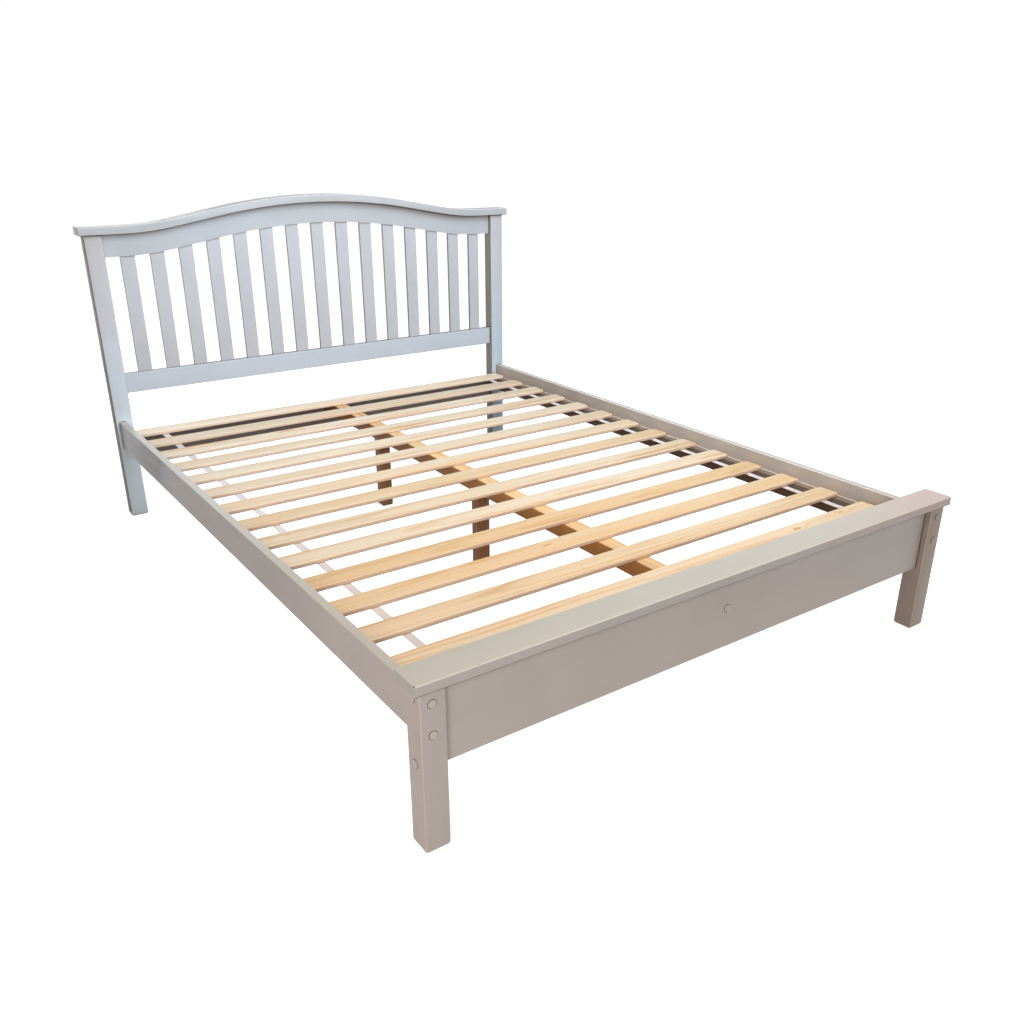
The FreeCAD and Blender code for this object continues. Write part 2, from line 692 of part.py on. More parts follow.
fill_sheets()
make_foot_end()
make_head_posts()
make_headboard_rails()
make_head_cap()
make_spindles()
make_sides()
make_centre()
make_slats()
make_tapes()
make_cover_caps()
check_and_write()
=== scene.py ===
"""Dresses the painted bedstead: satin paint, bare pine, webbing tapes and bolt caps, in a plain studio.

Every length is in metres, in the part's own frame: X across the bed, Y from foot to head, Z up.
"""

import logging
import math
import random
from collections.abc import Iterable, Sequence
from dataclasses import dataclass
from enum import Enum
from typing import Protocol

import bmesh
import bpy
from mathutils import Color, Matrix, Vector


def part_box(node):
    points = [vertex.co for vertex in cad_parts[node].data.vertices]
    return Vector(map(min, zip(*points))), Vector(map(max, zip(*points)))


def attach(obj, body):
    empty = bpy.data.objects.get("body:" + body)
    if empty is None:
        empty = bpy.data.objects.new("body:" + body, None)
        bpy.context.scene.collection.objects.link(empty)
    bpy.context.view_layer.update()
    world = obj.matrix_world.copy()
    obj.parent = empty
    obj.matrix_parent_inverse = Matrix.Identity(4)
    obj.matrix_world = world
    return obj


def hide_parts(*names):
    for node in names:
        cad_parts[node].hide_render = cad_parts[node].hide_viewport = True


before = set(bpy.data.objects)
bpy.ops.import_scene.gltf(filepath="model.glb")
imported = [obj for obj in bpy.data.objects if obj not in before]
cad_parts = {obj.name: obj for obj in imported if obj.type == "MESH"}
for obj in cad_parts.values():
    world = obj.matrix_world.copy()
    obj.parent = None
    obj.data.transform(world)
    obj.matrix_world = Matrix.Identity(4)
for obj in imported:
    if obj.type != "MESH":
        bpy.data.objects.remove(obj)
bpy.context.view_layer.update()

MM = 0.001
BODY = "root"
LOG = logging.getLogger("bedstead")

# The scale at which a wave texture repeats once in a metre
WAVE_SCALE = math.tau / 20

Colour = tuple[float, float, float]
Place = tuple[float, float, float]
Pair = tuple[float, float]
Node = bpy.types.Node
Socket = bpy.types.NodeSocket
Material = bpy.types.Material
Shape = bmesh.types.BMesh
Value = Socket | float | Sequence[float]

WHITE: Colour = (1.0, 1.0, 1.0)


def srgb(*channels: int) -> Colour:
    """Turns a colour's red, green and blue as a screen shows them, 0 to 255, into linear light."""
    full = 255
    return tuple(Color([channel / full for channel in channels]).from_srgb_to_scene_linear())


class Grain(Enum):
    """The way that a timber's grain runs, as the turn that lays it along X."""

    ACROSS_BED = (0.0, 0.0, 0.0)
    ALONG_BED = (0.0, 0.0, -math.pi / 2)
    UPRIGHT = (0.0, math.pi / 2, 0.0)


class Facing(Enum):
    """A way that a face or an arris looks."""

    LEFT = (-1.0, 0.0, 0.0)
    RIGHT = (1.0, 0.0, 0.0)
    FRONT = (0.0, -1.0, 0.0)
    TOP = (0.0, 0.0, 1.0)
    LEFT_FRONT = (-1.0, -1.0, 0.0)
    TOP_FRONT = (0.0, -1.0, 1.0)
    LOWER_FRONT = (0.0, -1.0, -1.0)


class Graph:
    """The node tree of a material or a world, with short calls that add and join its nodes."""

    MIX_FACTOR, MIX_FIRST, MIX_SECOND, MIX_RESULT = 0, 6, 7, 2

    def __init__(self, owner: Material | bpy.types.World) -> None:
        """Empties the owner's node tree.

        Args:
            owner: The material or the world.
        """
        self.owner = owner
        owner.use_nodes = True
        self.tree = owner.node_tree
        self.tree.nodes.clear()

    @classmethod
    def of_material(cls, name: str) -> "Graph":
        """Starts a new material."""
        return cls(bpy.data.materials.new(name))

    def add(self, kind: str, inputs: dict[str | int, Value] | None = None, **settings: object) -> Node:
        """Adds a node.

        Args:
            kind: The node's type.
            inputs: What feeds its sockets, each a value or another node's socket.
            **settings: The node's own properties.

        Returns:
            The new node.
        """
        node = self.tree.nodes.new(kind)
        for name, setting in settings.items():
            setattr(node, name, setting)
        for key, value in (inputs or {}).items():
            if isinstance(value, Socket):
                self.tree.links.new(value, node.inputs[key])
            elif isinstance(value, tuple) and node.inputs[key].type == "RGBA":
                node.inputs[key].default_value = (*value, 1.0)
            else:
                node.inputs[key].default_value = value
        return node

    def place(self, grain: Grain, centre: Sequence[float] = (0.0, 0.0, 0.0)) -> Socket:
        """Gives places on the object, measured from a centre and turned so that the grain lies along X.

        Args:
            grain: The way that the grain runs.
            centre: The place that becomes zero.

        Returns:
            The socket with the places.
        """
        here = self.add("ShaderNodeTexCoord").outputs["Object"]
        centred = self.add("ShaderNodeMapping", {"Vector": here, "Location": tuple(-c for c in centre)})
        turned = self.add("ShaderNodeMapping", {"Vector": centred.outputs[0], "Rotation": grain.value})
        return turned.outputs[0]

    def normal(self) -> Socket:
        """Gives the way that the surface looks."""
        return self.add("ShaderNodeTexCoord").outputs["Normal"]

    def along(self, axis: str, place: Socket) -> Socket:
        """Gives how far along one axis places are."""
        return self.add("ShaderNodeSeparateXYZ", {0: place}).outputs[axis]

    def vector(self, operation: str, *values: Value) -> Node:
        """Works out one step with vectors."""
        return self.add("ShaderNodeVectorMath", dict(enumerate(values)), operation=operation)

    def length(self, place: Socket) -> Socket:
        """Gives how far places are from zero."""
        return self.vector("LENGTH", place).outputs["Value"]

    def stretch(self, place: Socket, *scale: float) -> Socket:
        """Scales places along each axis."""
        return self.add("ShaderNodeMapping", {"Vector": place, "Scale": scale}).outputs[0]

    def noise(self, place: Socket, scale: float, detail: float = 2.0) -> Socket:
        """Gives soft noise of a scale, about 0.5 on average."""
        return self.add("ShaderNodeTexNoise", {"Vector": place, "Scale": scale, "Detail": detail}).outputs[0]

    def spread(self, value: Socket, low: float, high: float, start: float = 0.3, end: float = 0.7) -> Socket:
        """Maps a value from one range to another, with soft ends."""
        ranges = {"Value": value, "From Min": start, "From Max": end, "To Min": low, "To Max": high}
        return self.add("ShaderNodeMapRange", ranges, interpolation_type="SMOOTHSTEP").outputs[0]

    def math(self, operation: str, *values: Value) -> Socket:
        """Works out one step of arithmetic."""
        return self.add("ShaderNodeMath", dict(enumerate(values)), operation=operation).outputs[0]

    def mix(self, factor: Value, first: Value, second: Value, blend: str = "MIX") -> Socket:
        """Mixes two colours."""
        sockets = {self.MIX_FACTOR: factor, self.MIX_FIRST: first, self.MIX_SECOND: second}
        return self.add("ShaderNodeMix", sockets, data_type="RGBA", blend_type=blend).outputs[self.MIX_RESULT]

    def brighten(self, colour: Value, value: Value) -> Socket:
        """Scales a colour's brightness."""
        return self.add("ShaderNodeHueSaturation", {"Color": colour, "Value": value}).outputs[0]

    def bump(self, height: Socket, depth: float, below: Socket | None = None) -> Socket:
        """Raises the surface by a height, over another relief if there is one.

        Args:
            height: The relief, from 0 to 1.
            depth: How high 1 stands.
            below: The normal of a relief under this one.

        Returns:
            The socket with the normal.
        """
        sockets: dict[str | int, Value] = {"Height": height, "Distance": depth}
        if below:
            sockets["Normal"] = below
        return self.add("ShaderNodeBump", sockets).outputs[0]

    def surface(self, **sockets: Value) -> Material:
        """Ends the tree with a Principled shader.

        Args:
            **sockets: What feeds the shader, with an underscore for each space in a name.

        Returns:
            The finished material.
        """
        feeds = {name.replace("_", " "): value for name, value in sockets.items()}
        shader = self.add("ShaderNodeBsdfPrincipled", feeds)
        self.add("ShaderNodeOutputMaterial", {"Surface": shader.outputs[0]})
        return self.owner


@dataclass(frozen=True)
class Patch:
    """A place on the paint with a colour of its own: a small chip of wear, or a soft patch of painted light
    or shade.
    """

    place: Place
    radius: float
    colour: Colour = srgb(104, 82, 66)
    share: float = 1.0
    softness: float = 0.3

    # The noise that frays the outline, as shares of the radius
    FRAY_SCALE = 0.6
    FRAY = 0.5

    def mask(self, graph: Graph) -> Socket:
        """Gives the patch's share within a ragged outline and 0 outside it.

        Args:
            graph: The material's tree.

        Returns:
            The socket with the share.
        """
        place = graph.place(Grain.ACROSS_BED, self.place)
        noise = graph.noise(place, self.FRAY_SCALE / self.radius, detail=3.0)
        fray = graph.spread(noise, -self.FRAY, self.FRAY)
        edge = graph.math("MULTIPLY_ADD", fray, self.radius, graph.length(place))
        return graph.spread(edge, self.share, 0.0, start=self.radius * (1 - self.softness), end=self.radius)


@dataclass(frozen=True)
class FaceCoat:
    """A colour that the paint takes on the faces that look one way, used here for painted light, painted
    shade and painted highlights.

    Its band, if it has one, is an axis, where the coat starts along it and where it is full.
    """

    facing: Facing
    colour: Colour
    share: float = 1.0
    starts: float = 0.7
    ends: float = 0.9
    band: tuple[str, float, float] | None = None

    def mask(self, graph: Graph) -> Socket:
        """Gives the coat's share on those faces and 0 elsewhere.

        Args:
            graph: The material's tree.

        Returns:
            The socket with the share.
        """
        way = tuple(Vector(self.facing.value).normalized())
        turned = graph.vector("DOT_PRODUCT", graph.normal(), way).outputs["Value"]
        mask = graph.spread(turned, 0.0, self.share, self.starts, self.ends)
        if self.band is None:
            return mask
        axis, start, end = self.band
        along = graph.along(axis, graph.place(Grain.ACROSS_BED))
        return graph.math("MULTIPLY", mask, graph.spread(along, 0.0, 1.0, start, end))


def lit_edge(facing: Facing, share: float) -> FaceCoat:
    """Gives a painted highlight: a pale line along the arris that looks one way."""
    return FaceCoat(facing, srgb(246, 243, 238), share, starts=0.88, ends=0.97)


def lower_edge() -> FaceCoat:
    """Gives painted shade: a dark line along the lower front arris of a board."""
    return FaceCoat(Facing.LOWER_FRONT, srgb(88, 78, 74), starts=0.76, ends=0.9)


@dataclass(frozen=True)
class SatinPaint:
    """Brushed satin paint over pine: faint brush lines, cloudy tone, painted shade in crevices and a little
    grain.
    """

    name: str
    colour: Colour
    grain: Grain
    coats: tuple[FaceCoat, ...] = ()
    patches: tuple[Patch, ...] = ()
    # Painted shade: the paint darkens towards this colour where ambient occlusion finds it shut in, in
    # corners, under overhangs and between parts
    crevice_shade: Colour = srgb(50, 45, 44)
    crevice_reach: float = 7 * MM
    crevice_depth: float = 0.9
    crevice_openness: Pair = (0.5, 0.86)
    crevice_samples: int = 12
    specular: float = 0.42
    roughness: float = 0.38
    roughness_change: Pair = (-0.05, 0.07)
    cloud_scale: float = 5.0
    cloud_tones: Pair = (0.975, 1.02)
    brush_stretch: Place = (5.0, 420.0, 420.0)
    brush_tones: Pair = (0.985, 1.012)
    brush_depth: float = 0.05 * MM
    grain_stretch: Place = (1.6, 90.0, 90.0)
    grain_depth: float = 0.12 * MM
    fleck_scale: float = 1100.0
    fleck_tones: Pair = (0.985, 1.01)
    fleck_depth: float = 0.02 * MM

    def material(self) -> Material:
        """Builds the paint's material.

        Returns:
            The material.
        """
        graph = Graph.of_material(self.name)
        place = graph.place(self.grain)
        cloud = graph.noise(place, self.cloud_scale, detail=4.0)
        brush = graph.noise(graph.stretch(place, *self.brush_stretch), 1.0, detail=3.0)
        grain = graph.noise(graph.stretch(place, *self.grain_stretch), 1.0)
        fleck = graph.noise(place, self.fleck_scale, detail=1.0)
        colour: Value = self.colour
        for layer in (*self.patches, *self.coats):
            colour = graph.mix(layer.mask(graph), colour, layer.colour)
        cloudy = graph.spread(cloud, *self.cloud_tones)
        tone = graph.math("MULTIPLY", cloudy, graph.spread(brush, *self.brush_tones))
        colour = graph.brighten(colour, graph.math("MULTIPLY", tone, graph.spread(fleck, *self.fleck_tones)))
        # Painted shade in corners, under overhangs and between parts, from ambient occlusion
        if self.crevice_depth:
            openness = graph.add("ShaderNodeAmbientOcclusion", {"Distance": self.crevice_reach},
                                 samples=self.crevice_samples).outputs["AO"]
            shut_in = graph.spread(openness, self.crevice_depth, 0.0, *self.crevice_openness)
            colour = graph.mix(shut_in, colour, self.crevice_shade)
        relief = graph.bump(grain, self.grain_depth)
        relief = graph.bump(brush, self.brush_depth, relief)
        relief = graph.bump(fleck, self.fleck_depth, relief)
        rough = graph.spread(brush, *(self.roughness + change for change in self.roughness_change))
        return graph.surface(Base_Color=colour, Roughness=rough, Normal=relief,
                             Specular_IOR_Level=self.specular)


@dataclass(frozen=True)
class Knot:
    """A knot in a board, placed from the board's centre along and across the grain."""

    along: float
    across: float
    radius: float

    # How wide the knot is for its length
    WIDTH_SHARE = 0.42

    def distance(self, graph: Graph, place: Socket) -> Socket:
        """Gives the distance from the knot's middle, in its radii, drawn out along the grain.

        Args:
            graph: The material's tree.
            place: Places in the board.

        Returns:
            The socket with the distance.
        """
        scale = (self.WIDTH_SHARE / self.radius, 1 / self.radius, 0.0)
        location = (-self.along * scale[0], -self.across * scale[1], 0.0)
        mapping = graph.add("ShaderNodeMapping", {"Vector": place, "Location": location, "Scale": scale})
        return graph.length(mapping.outputs[0])


@dataclass(frozen=True)
class Pine:
    """Planed pine with growth rings about a heart line, fine fibres and knots."""

    name: str
    pale: Colour
    late: Colour
    grain: Grain
    centre: Place
    heart: Pair
    slope: Pair
    knots: tuple[Knot, ...] = ()
    coats: tuple[FaceCoat, ...] = ()
    ring: float = 5.0 * MM
    ring_late: Pair = (0.35, 0.93)
    ring_end: float = 0.94
    squeeze: float = 0.07
    wobble: float = 2.0
    wobble_scale: float = 24.0
    sway: float = 15.0 * MM
    sway_stretch: Place = (2.4, 7.0, 7.0)
    streak: float = 0.6
    streak_shares: Pair = (0.15, 1.1)
    drift_stretch: Place = (1.3, 9.0, 9.0)
    drift_share: float = 0.22
    fibre_stretch: Place = (9.0, 480.0, 480.0)
    fibre_tones: Pair = (0.965, 1.025)
    fibre_depth: float = 0.03 * MM
    swirl: float = 11.0
    swirl_fade: float = 0.16
    core: Colour = srgb(220, 170, 110)
    rim: Colour = srgb(196, 138, 82)
    rim_from: Pair = (0.55, 0.9)
    knot_edge: Pair = (0.75, 1.05)
    knot_rings: float = 16.0
    knot_ring_share: float = 0.5
    knot_ring_from: float = -0.4
    specular: float = 0.35
    roughness: float = 0.58
    late_roughness: float = 0.48
    # Painted shade on the board's sides, with a pinker tint for saw-cut faces
    side: Colour = srgb(230, 206, 184)
    side_share: float = 0.62
    side_blend: str = "MIX"
    side_tilt: Pair = (0.35, 0.85)
    # Painted shade along the bottom of the board, above its lower arris
    lower_arris_shade: Colour = srgb(96, 70, 54)
    lower_arris_at: Pair = (-5.2 * MM, -3.0 * MM)
    lower_arris_share: float = 0.8

    def material(self) -> Material:
        """Builds the pine's material.

        Returns:
            The material.
        """
        graph = Graph.of_material(self.name)
        place = graph.place(self.grain, self.centre)
        distances = [knot.distance(graph, place) for knot in self.knots]
        late = self.late_wood(graph, place, distances)
        drift = graph.noise(graph.stretch(place, *self.drift_stretch), 1.0, detail=3.0)
        fibre = graph.noise(graph.stretch(place, *self.fibre_stretch), 1.0, detail=3.0)
        streaks = graph.spread(drift, *(self.streak * share for share in self.streak_shares))
        colour = graph.mix(graph.math("MULTIPLY", late, streaks), self.pale, self.late)
        colour = graph.mix(graph.spread(drift, 0.0, self.drift_share), colour, self.late)
        colour = graph.brighten(colour, graph.spread(fibre, *self.fibre_tones))
        for distance in distances:
            colour = self.knotted(graph, colour, distance)
        colour = self.sides(graph, colour)
        rough = graph.spread(late, self.roughness, self.late_roughness, 0.0, 1.0)
        return graph.surface(Base_Color=colour, Roughness=rough, Normal=graph.bump(fibre, self.fibre_depth),
                             Specular_IOR_Level=self.specular)

    def late_wood(self, graph: Graph, place: Socket, distances: Sequence[Socket]) -> Socket:
        """Gives the dark share of the growth rings, which curl round the knots.

        Args:
            graph: The material's tree.
            place: Places in the board.
            distances: How far they are from each knot.

        Returns:
            The socket with the share, from 0 to 1.
        """
        stretched = graph.stretch(place, *self.sway_stretch)
        noise = graph.add("ShaderNodeTexNoise", {"Vector": stretched, "Scale": 1.0}).outputs["Color"]
        middle = graph.vector("SUBTRACT", noise, (0.5, 0.5, 0.5)).outputs[0]
        swayed = graph.vector("MULTIPLY_ADD", middle, (0.0, self.sway, self.sway), place).outputs[0]
        tilt = {"Vector": swayed, "Location": (0.0, *self.heart), "Rotation": (0.0, *self.slope)}
        tilted = graph.add("ShaderNodeMapping", tilt).outputs[0]
        phase: Value = 0.0
        for distance in distances:
            power = graph.math("MULTIPLY", graph.math("POWER", distance, 2.0), -self.swirl_fade)
            phase = graph.math("MULTIPLY_ADD", graph.math("EXPONENT", power), self.swirl, phase)
        rings = graph.add("ShaderNodeTexWave", {
            "Vector": graph.stretch(tilted, self.squeeze, 1.0, 1.0), "Scale": WAVE_SCALE / self.ring,
            "Distortion": self.wobble, "Detail Scale": self.wobble_scale, "Phase Offset": phase,
        }, wave_type="RINGS", rings_direction="X", wave_profile="SAW").outputs["Fac"]
        start, full = self.ring_late
        rise = graph.add("ShaderNodeMapRange", {"Value": rings, "From Min": start, "From Max": full},
                         interpolation_type="SMOOTHERSTEP").outputs[0]
        return graph.math("MULTIPLY", rise, graph.spread(rings, 0.0, 1.0, start=1.0, end=self.ring_end))

    def knotted(self, graph: Graph, colour: Socket, distance: Socket) -> Socket:
        """Lays one knot over the board's colour: its core, its rings and its dark rim.

        Args:
            graph: The material's tree.
            colour: The colour so far.
            distance: How far places are from the knot.

        Returns:
            The new colour.
        """
        inside = graph.spread(distance, 1.0, 0.0, *self.knot_edge)
        wave = graph.math("SINE", graph.math("MULTIPLY", distance, self.knot_rings))
        rings = graph.spread(wave, 0.0, self.knot_ring_share, self.knot_ring_from, 1.0)
        colour = graph.mix(inside, colour, self.core)
        colour = graph.mix(graph.math("MULTIPLY", rings, inside), colour, self.rim)
        rim = graph.math("MULTIPLY", inside, graph.spread(distance, 0.0, 1.0, *self.rim_from))
        return graph.mix(rim, colour, self.rim)

    def sides(self, graph: Graph, colour: Socket) -> Socket:
        """Darkens and tints the sides as painted shade and saw-cut colour, lays the coats on and paints shade
        on the arris below.

        Args:
            graph: The material's tree.
            colour: The colour so far.

        Returns:
            The new colour.
        """
        # Painted shade on the sides, with a tint for saw-cut faces
        upward = graph.math("ABSOLUTE", graph.along("Z", graph.normal()))
        sawn_and_shaded = graph.spread(upward, self.side_share, 0.0, *self.side_tilt)
        colour = graph.mix(sawn_and_shaded, colour, self.side, blend=self.side_blend)
        for coat in self.coats:
            colour = graph.mix(coat.mask(graph), colour, coat.colour)
        # Painted shade along the bottom of the board
        height = graph.along("Z", graph.place(Grain.ACROSS_BED, self.centre))
        below = graph.spread(height, self.lower_arris_share, 0.0, *self.lower_arris_at)
        return graph.mix(below, colour, self.lower_arris_shade)


@dataclass(frozen=True)
class Webbing:
    """Woven white tape, with threads along and across it."""

    name: str = "white_webbing"
    colour: Colour = srgb(240, 233, 229)
    shade: Colour = srgb(212, 201, 197)
    thread: float = 1.1 * MM
    thread_waver: float = 0.4
    thread_waver_scale: float = 300.0
    depth: float = 0.12 * MM
    cloud_scale: float = 18.0
    cloud_tones: Pair = (0.95, 1.02)
    roughness: float = 0.8
    sheen: float = 0.15

    def threads(self, graph: Graph, place: Socket, axis: str) -> Socket:
        """Gives the threads that follow one another along an axis."""
        return graph.add("ShaderNodeTexWave", {
            "Vector": place, "Scale": WAVE_SCALE / self.thread, "Distortion": self.thread_waver,
            "Detail Scale": self.thread_waver_scale,
        }, bands_direction=axis).outputs["Fac"]

    def material(self) -> Material:
        """Builds the tape's material.

        Returns:
            The material.
        """
        graph = Graph.of_material(self.name)
        place = graph.place(Grain.ALONG_BED)
        weave = graph.math("MULTIPLY", self.threads(graph, place, "Y"), self.threads(graph, place, "X"))
        cloud = graph.spread(graph.noise(place, self.cloud_scale), *self.cloud_tones)
        return graph.surface(Base_Color=graph.brighten(graph.mix(weave, self.shade, self.colour), cloud),
                             Roughness=self.roughness, Normal=graph.bump(weave, self.depth),
                             Sheen_Weight=self.sheen)


@dataclass(frozen=True)
class BrightWire:
    """Drawn steel wire with fine scratches."""

    name: str = "staple_wire"
    colour: Colour = srgb(186, 186, 184)
    scratch_scale: float = 1500.0
    scratch_tones: Pair = (0.85, 1.05)
    scratch_roughness: Pair = (0.28, 0.45)

    def material(self) -> Material:
        """Builds the wire's material.

        Returns:
            The material.
        """
        graph = Graph.of_material(self.name)
        scratch = graph.noise(graph.place(Grain.ACROSS_BED), self.scratch_scale)
        colour = graph.brighten(self.colour, graph.spread(scratch, *self.scratch_tones))
        rough = graph.spread(scratch, *self.scratch_roughness)
        return graph.surface(Base_Color=colour, Metallic=1.0, Roughness=rough)


@dataclass(frozen=True)
class PaintShop:
    """Mixes the bed's paint for one piece after another."""

    name: str
    colour: Colour

    def mix(self, piece: str, grain: Grain, *coats: FaceCoat, colour: Colour | None = None,
            **settings: float | tuple[Patch, ...]) -> Material:
        """Mixes the paint for a piece.

        Args:
            piece: What it is for.
            grain: The way that the grain runs.
            *coats: Colours for the faces that look one way.
            colour: The piece's own colour, if it has one.
            **settings: Other fields of the paint, such as its patches.

        Returns:
            The paint's material.
        """
        return SatinPaint(f"{self.name}_{piece}", colour or self.colour, grain, coats, **settings).material()


def make_piece(shape: Shape, name: str, slot: str, material: Material,
               *nodes: str) -> bpy.types.Object:
    """Turns a finished shape into a piece of the bed.

    Args:
        shape: The shape, in its place. It is freed.
        name: The piece's name.
        slot: The record's material slot; not used.
        material: Its finish.
        *nodes: The nodes that it stands for.

    Returns:
        The new object.
    """
    sharp = math.radians(32)
    mesh = bpy.data.meshes.new(name)
    bmesh.ops.recalc_face_normals(shape, faces=shape.faces)
    shape.to_mesh(mesh)
    shape.free()
    mesh.shade_smooth()
    mesh.set_sharp_from_angle(angle=sharp)
    mesh.materials.append(material)
    piece = bpy.data.objects.new(name, mesh)
    bpy.context.scene.collection.objects.link(piece)
    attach(piece, BODY)
    if nodes:
        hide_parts(*nodes)
    LOG.info("made %s: %d faces, stands for %s", name, len(mesh.polygons), ", ".join(nodes) or "nothing")
    return piece


def dress(node: str, material: Material) -> None:
    """Gives a node of the frame its finish.

    Args:
        node: The node's name.
        material: Its finish.
    """
    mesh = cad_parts[node].data
    mesh.materials.clear()
    mesh.materials.append(material)
    LOG.info("dressed %s in %s", node, material.name)


def make_block(low: Vector, high: Vector) -> Shape:
    """Starts a shape as a block between its lowest and its highest corner.

    Args:
        low: The lowest corner.
        high: The highest corner.

    Returns:
        The shape.
    """
    shape = bmesh.new()
    bmesh.ops.create_cube(shape, size=1.0)
    bmesh.ops.scale(shape, vec=high - low, verts=shape.verts)
    bmesh.ops.translate(shape, vec=(low + high) / 2, verts=shape.verts)
    return shape


def round_edges(shape: Shape, edges: Iterable[bmesh.types.BMEdge], radius: float, segments: int) -> None:
    """Rounds some edges of a shape, with a number of faces to each rounding."""
    bmesh.ops.bevel(shape, geom=list(edges), offset=radius, offset_type="OFFSET", affect="EDGES",
                    segments=segments, profile=0.5, material=-1, clamp_overlap=True)


def runs_along(edge: bmesh.types.BMEdge, axis: int) -> bool:
    """Tests whether an edge runs along one axis.

    Args:
        edge: The edge.
        axis: The axis, 0 to 2.

    Returns:
        Whether it does.
    """
    straight = 0.999
    way = edge.verts[1].co - edge.verts[0].co
    return abs(way[axis]) > way.length * straight


@dataclass(frozen=True)
class Rounding:
    """How far a rounding reaches, and how many faces it has."""

    radius: float
    segments: int


def make_board(low: Vector, high: Vector, corners: Rounding, arrises: Rounding) -> Shape:
    """Makes a flat board.

    Args:
        low: Its lowest corner.
        high: Its highest corner.
        corners: The rounding of its four upright edges.
        arrises: The rounding of its level edges.

    Returns:
        The shape.
    """
    upright = 2
    shape = make_block(low, high)
    ends = [edge for edge in shape.edges if runs_along(edge, upright)]
    round_edges(shape, ends, corners.radius, corners.segments)
    rims = [edge for edge in shape.edges if not runs_along(edge, upright)]
    round_edges(shape, rims, arrises.radius, arrises.segments)
    return shape


def node_shape(node: str) -> Shape:
    """Copies a node's solid as a shape of whole flat faces.

    Args:
        node: The node's name.

    Returns:
        The merged copy.
    """
    merge, flat = 0.01 * MM, math.radians(0.4)
    shape = bmesh.new()
    shape.from_mesh(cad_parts[node].data)
    bmesh.ops.remove_doubles(shape, verts=shape.verts, dist=merge)
    bmesh.ops.dissolve_limit(shape, angle_limit=flat, verts=shape.verts, edges=shape.edges)
    return shape


@dataclass
class Post:
    """A square post with rounded arrises and a rounded foot, in the place of one of the frame's posts."""

    node: str
    material: Material
    arris: Rounding = Rounding(2.8 * MM, 4)
    foot: Rounding = Rounding(7.0 * MM, 4)
    sharp: float = math.radians(50)

    def build(self) -> None:
        """Builds the post."""
        low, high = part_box(self.node)
        shape = make_block(low, high)
        foot = min(vert.co.z for vert in shape.verts)
        rim = [edge for edge in shape.edges if all(vert.co.z == foot for vert in edge.verts)]
        round_edges(shape, rim, self.foot.radius, self.foot.segments)
        top = max(vert.co.z for vert in shape.verts)
        corners = [edge for edge in shape.edges if edge.calc_face_angle() > self.sharp]
        uprights = [edge for edge in corners if not all(vert.co.z == top for vert in edge.verts)]
        round_edges(shape, uprights, self.arris.radius, self.arris.segments)
        end, _, side = self.node.split("_")
        make_piece(shape, f"{side}_{end}_post", "painted_wood", self.material, self.node)


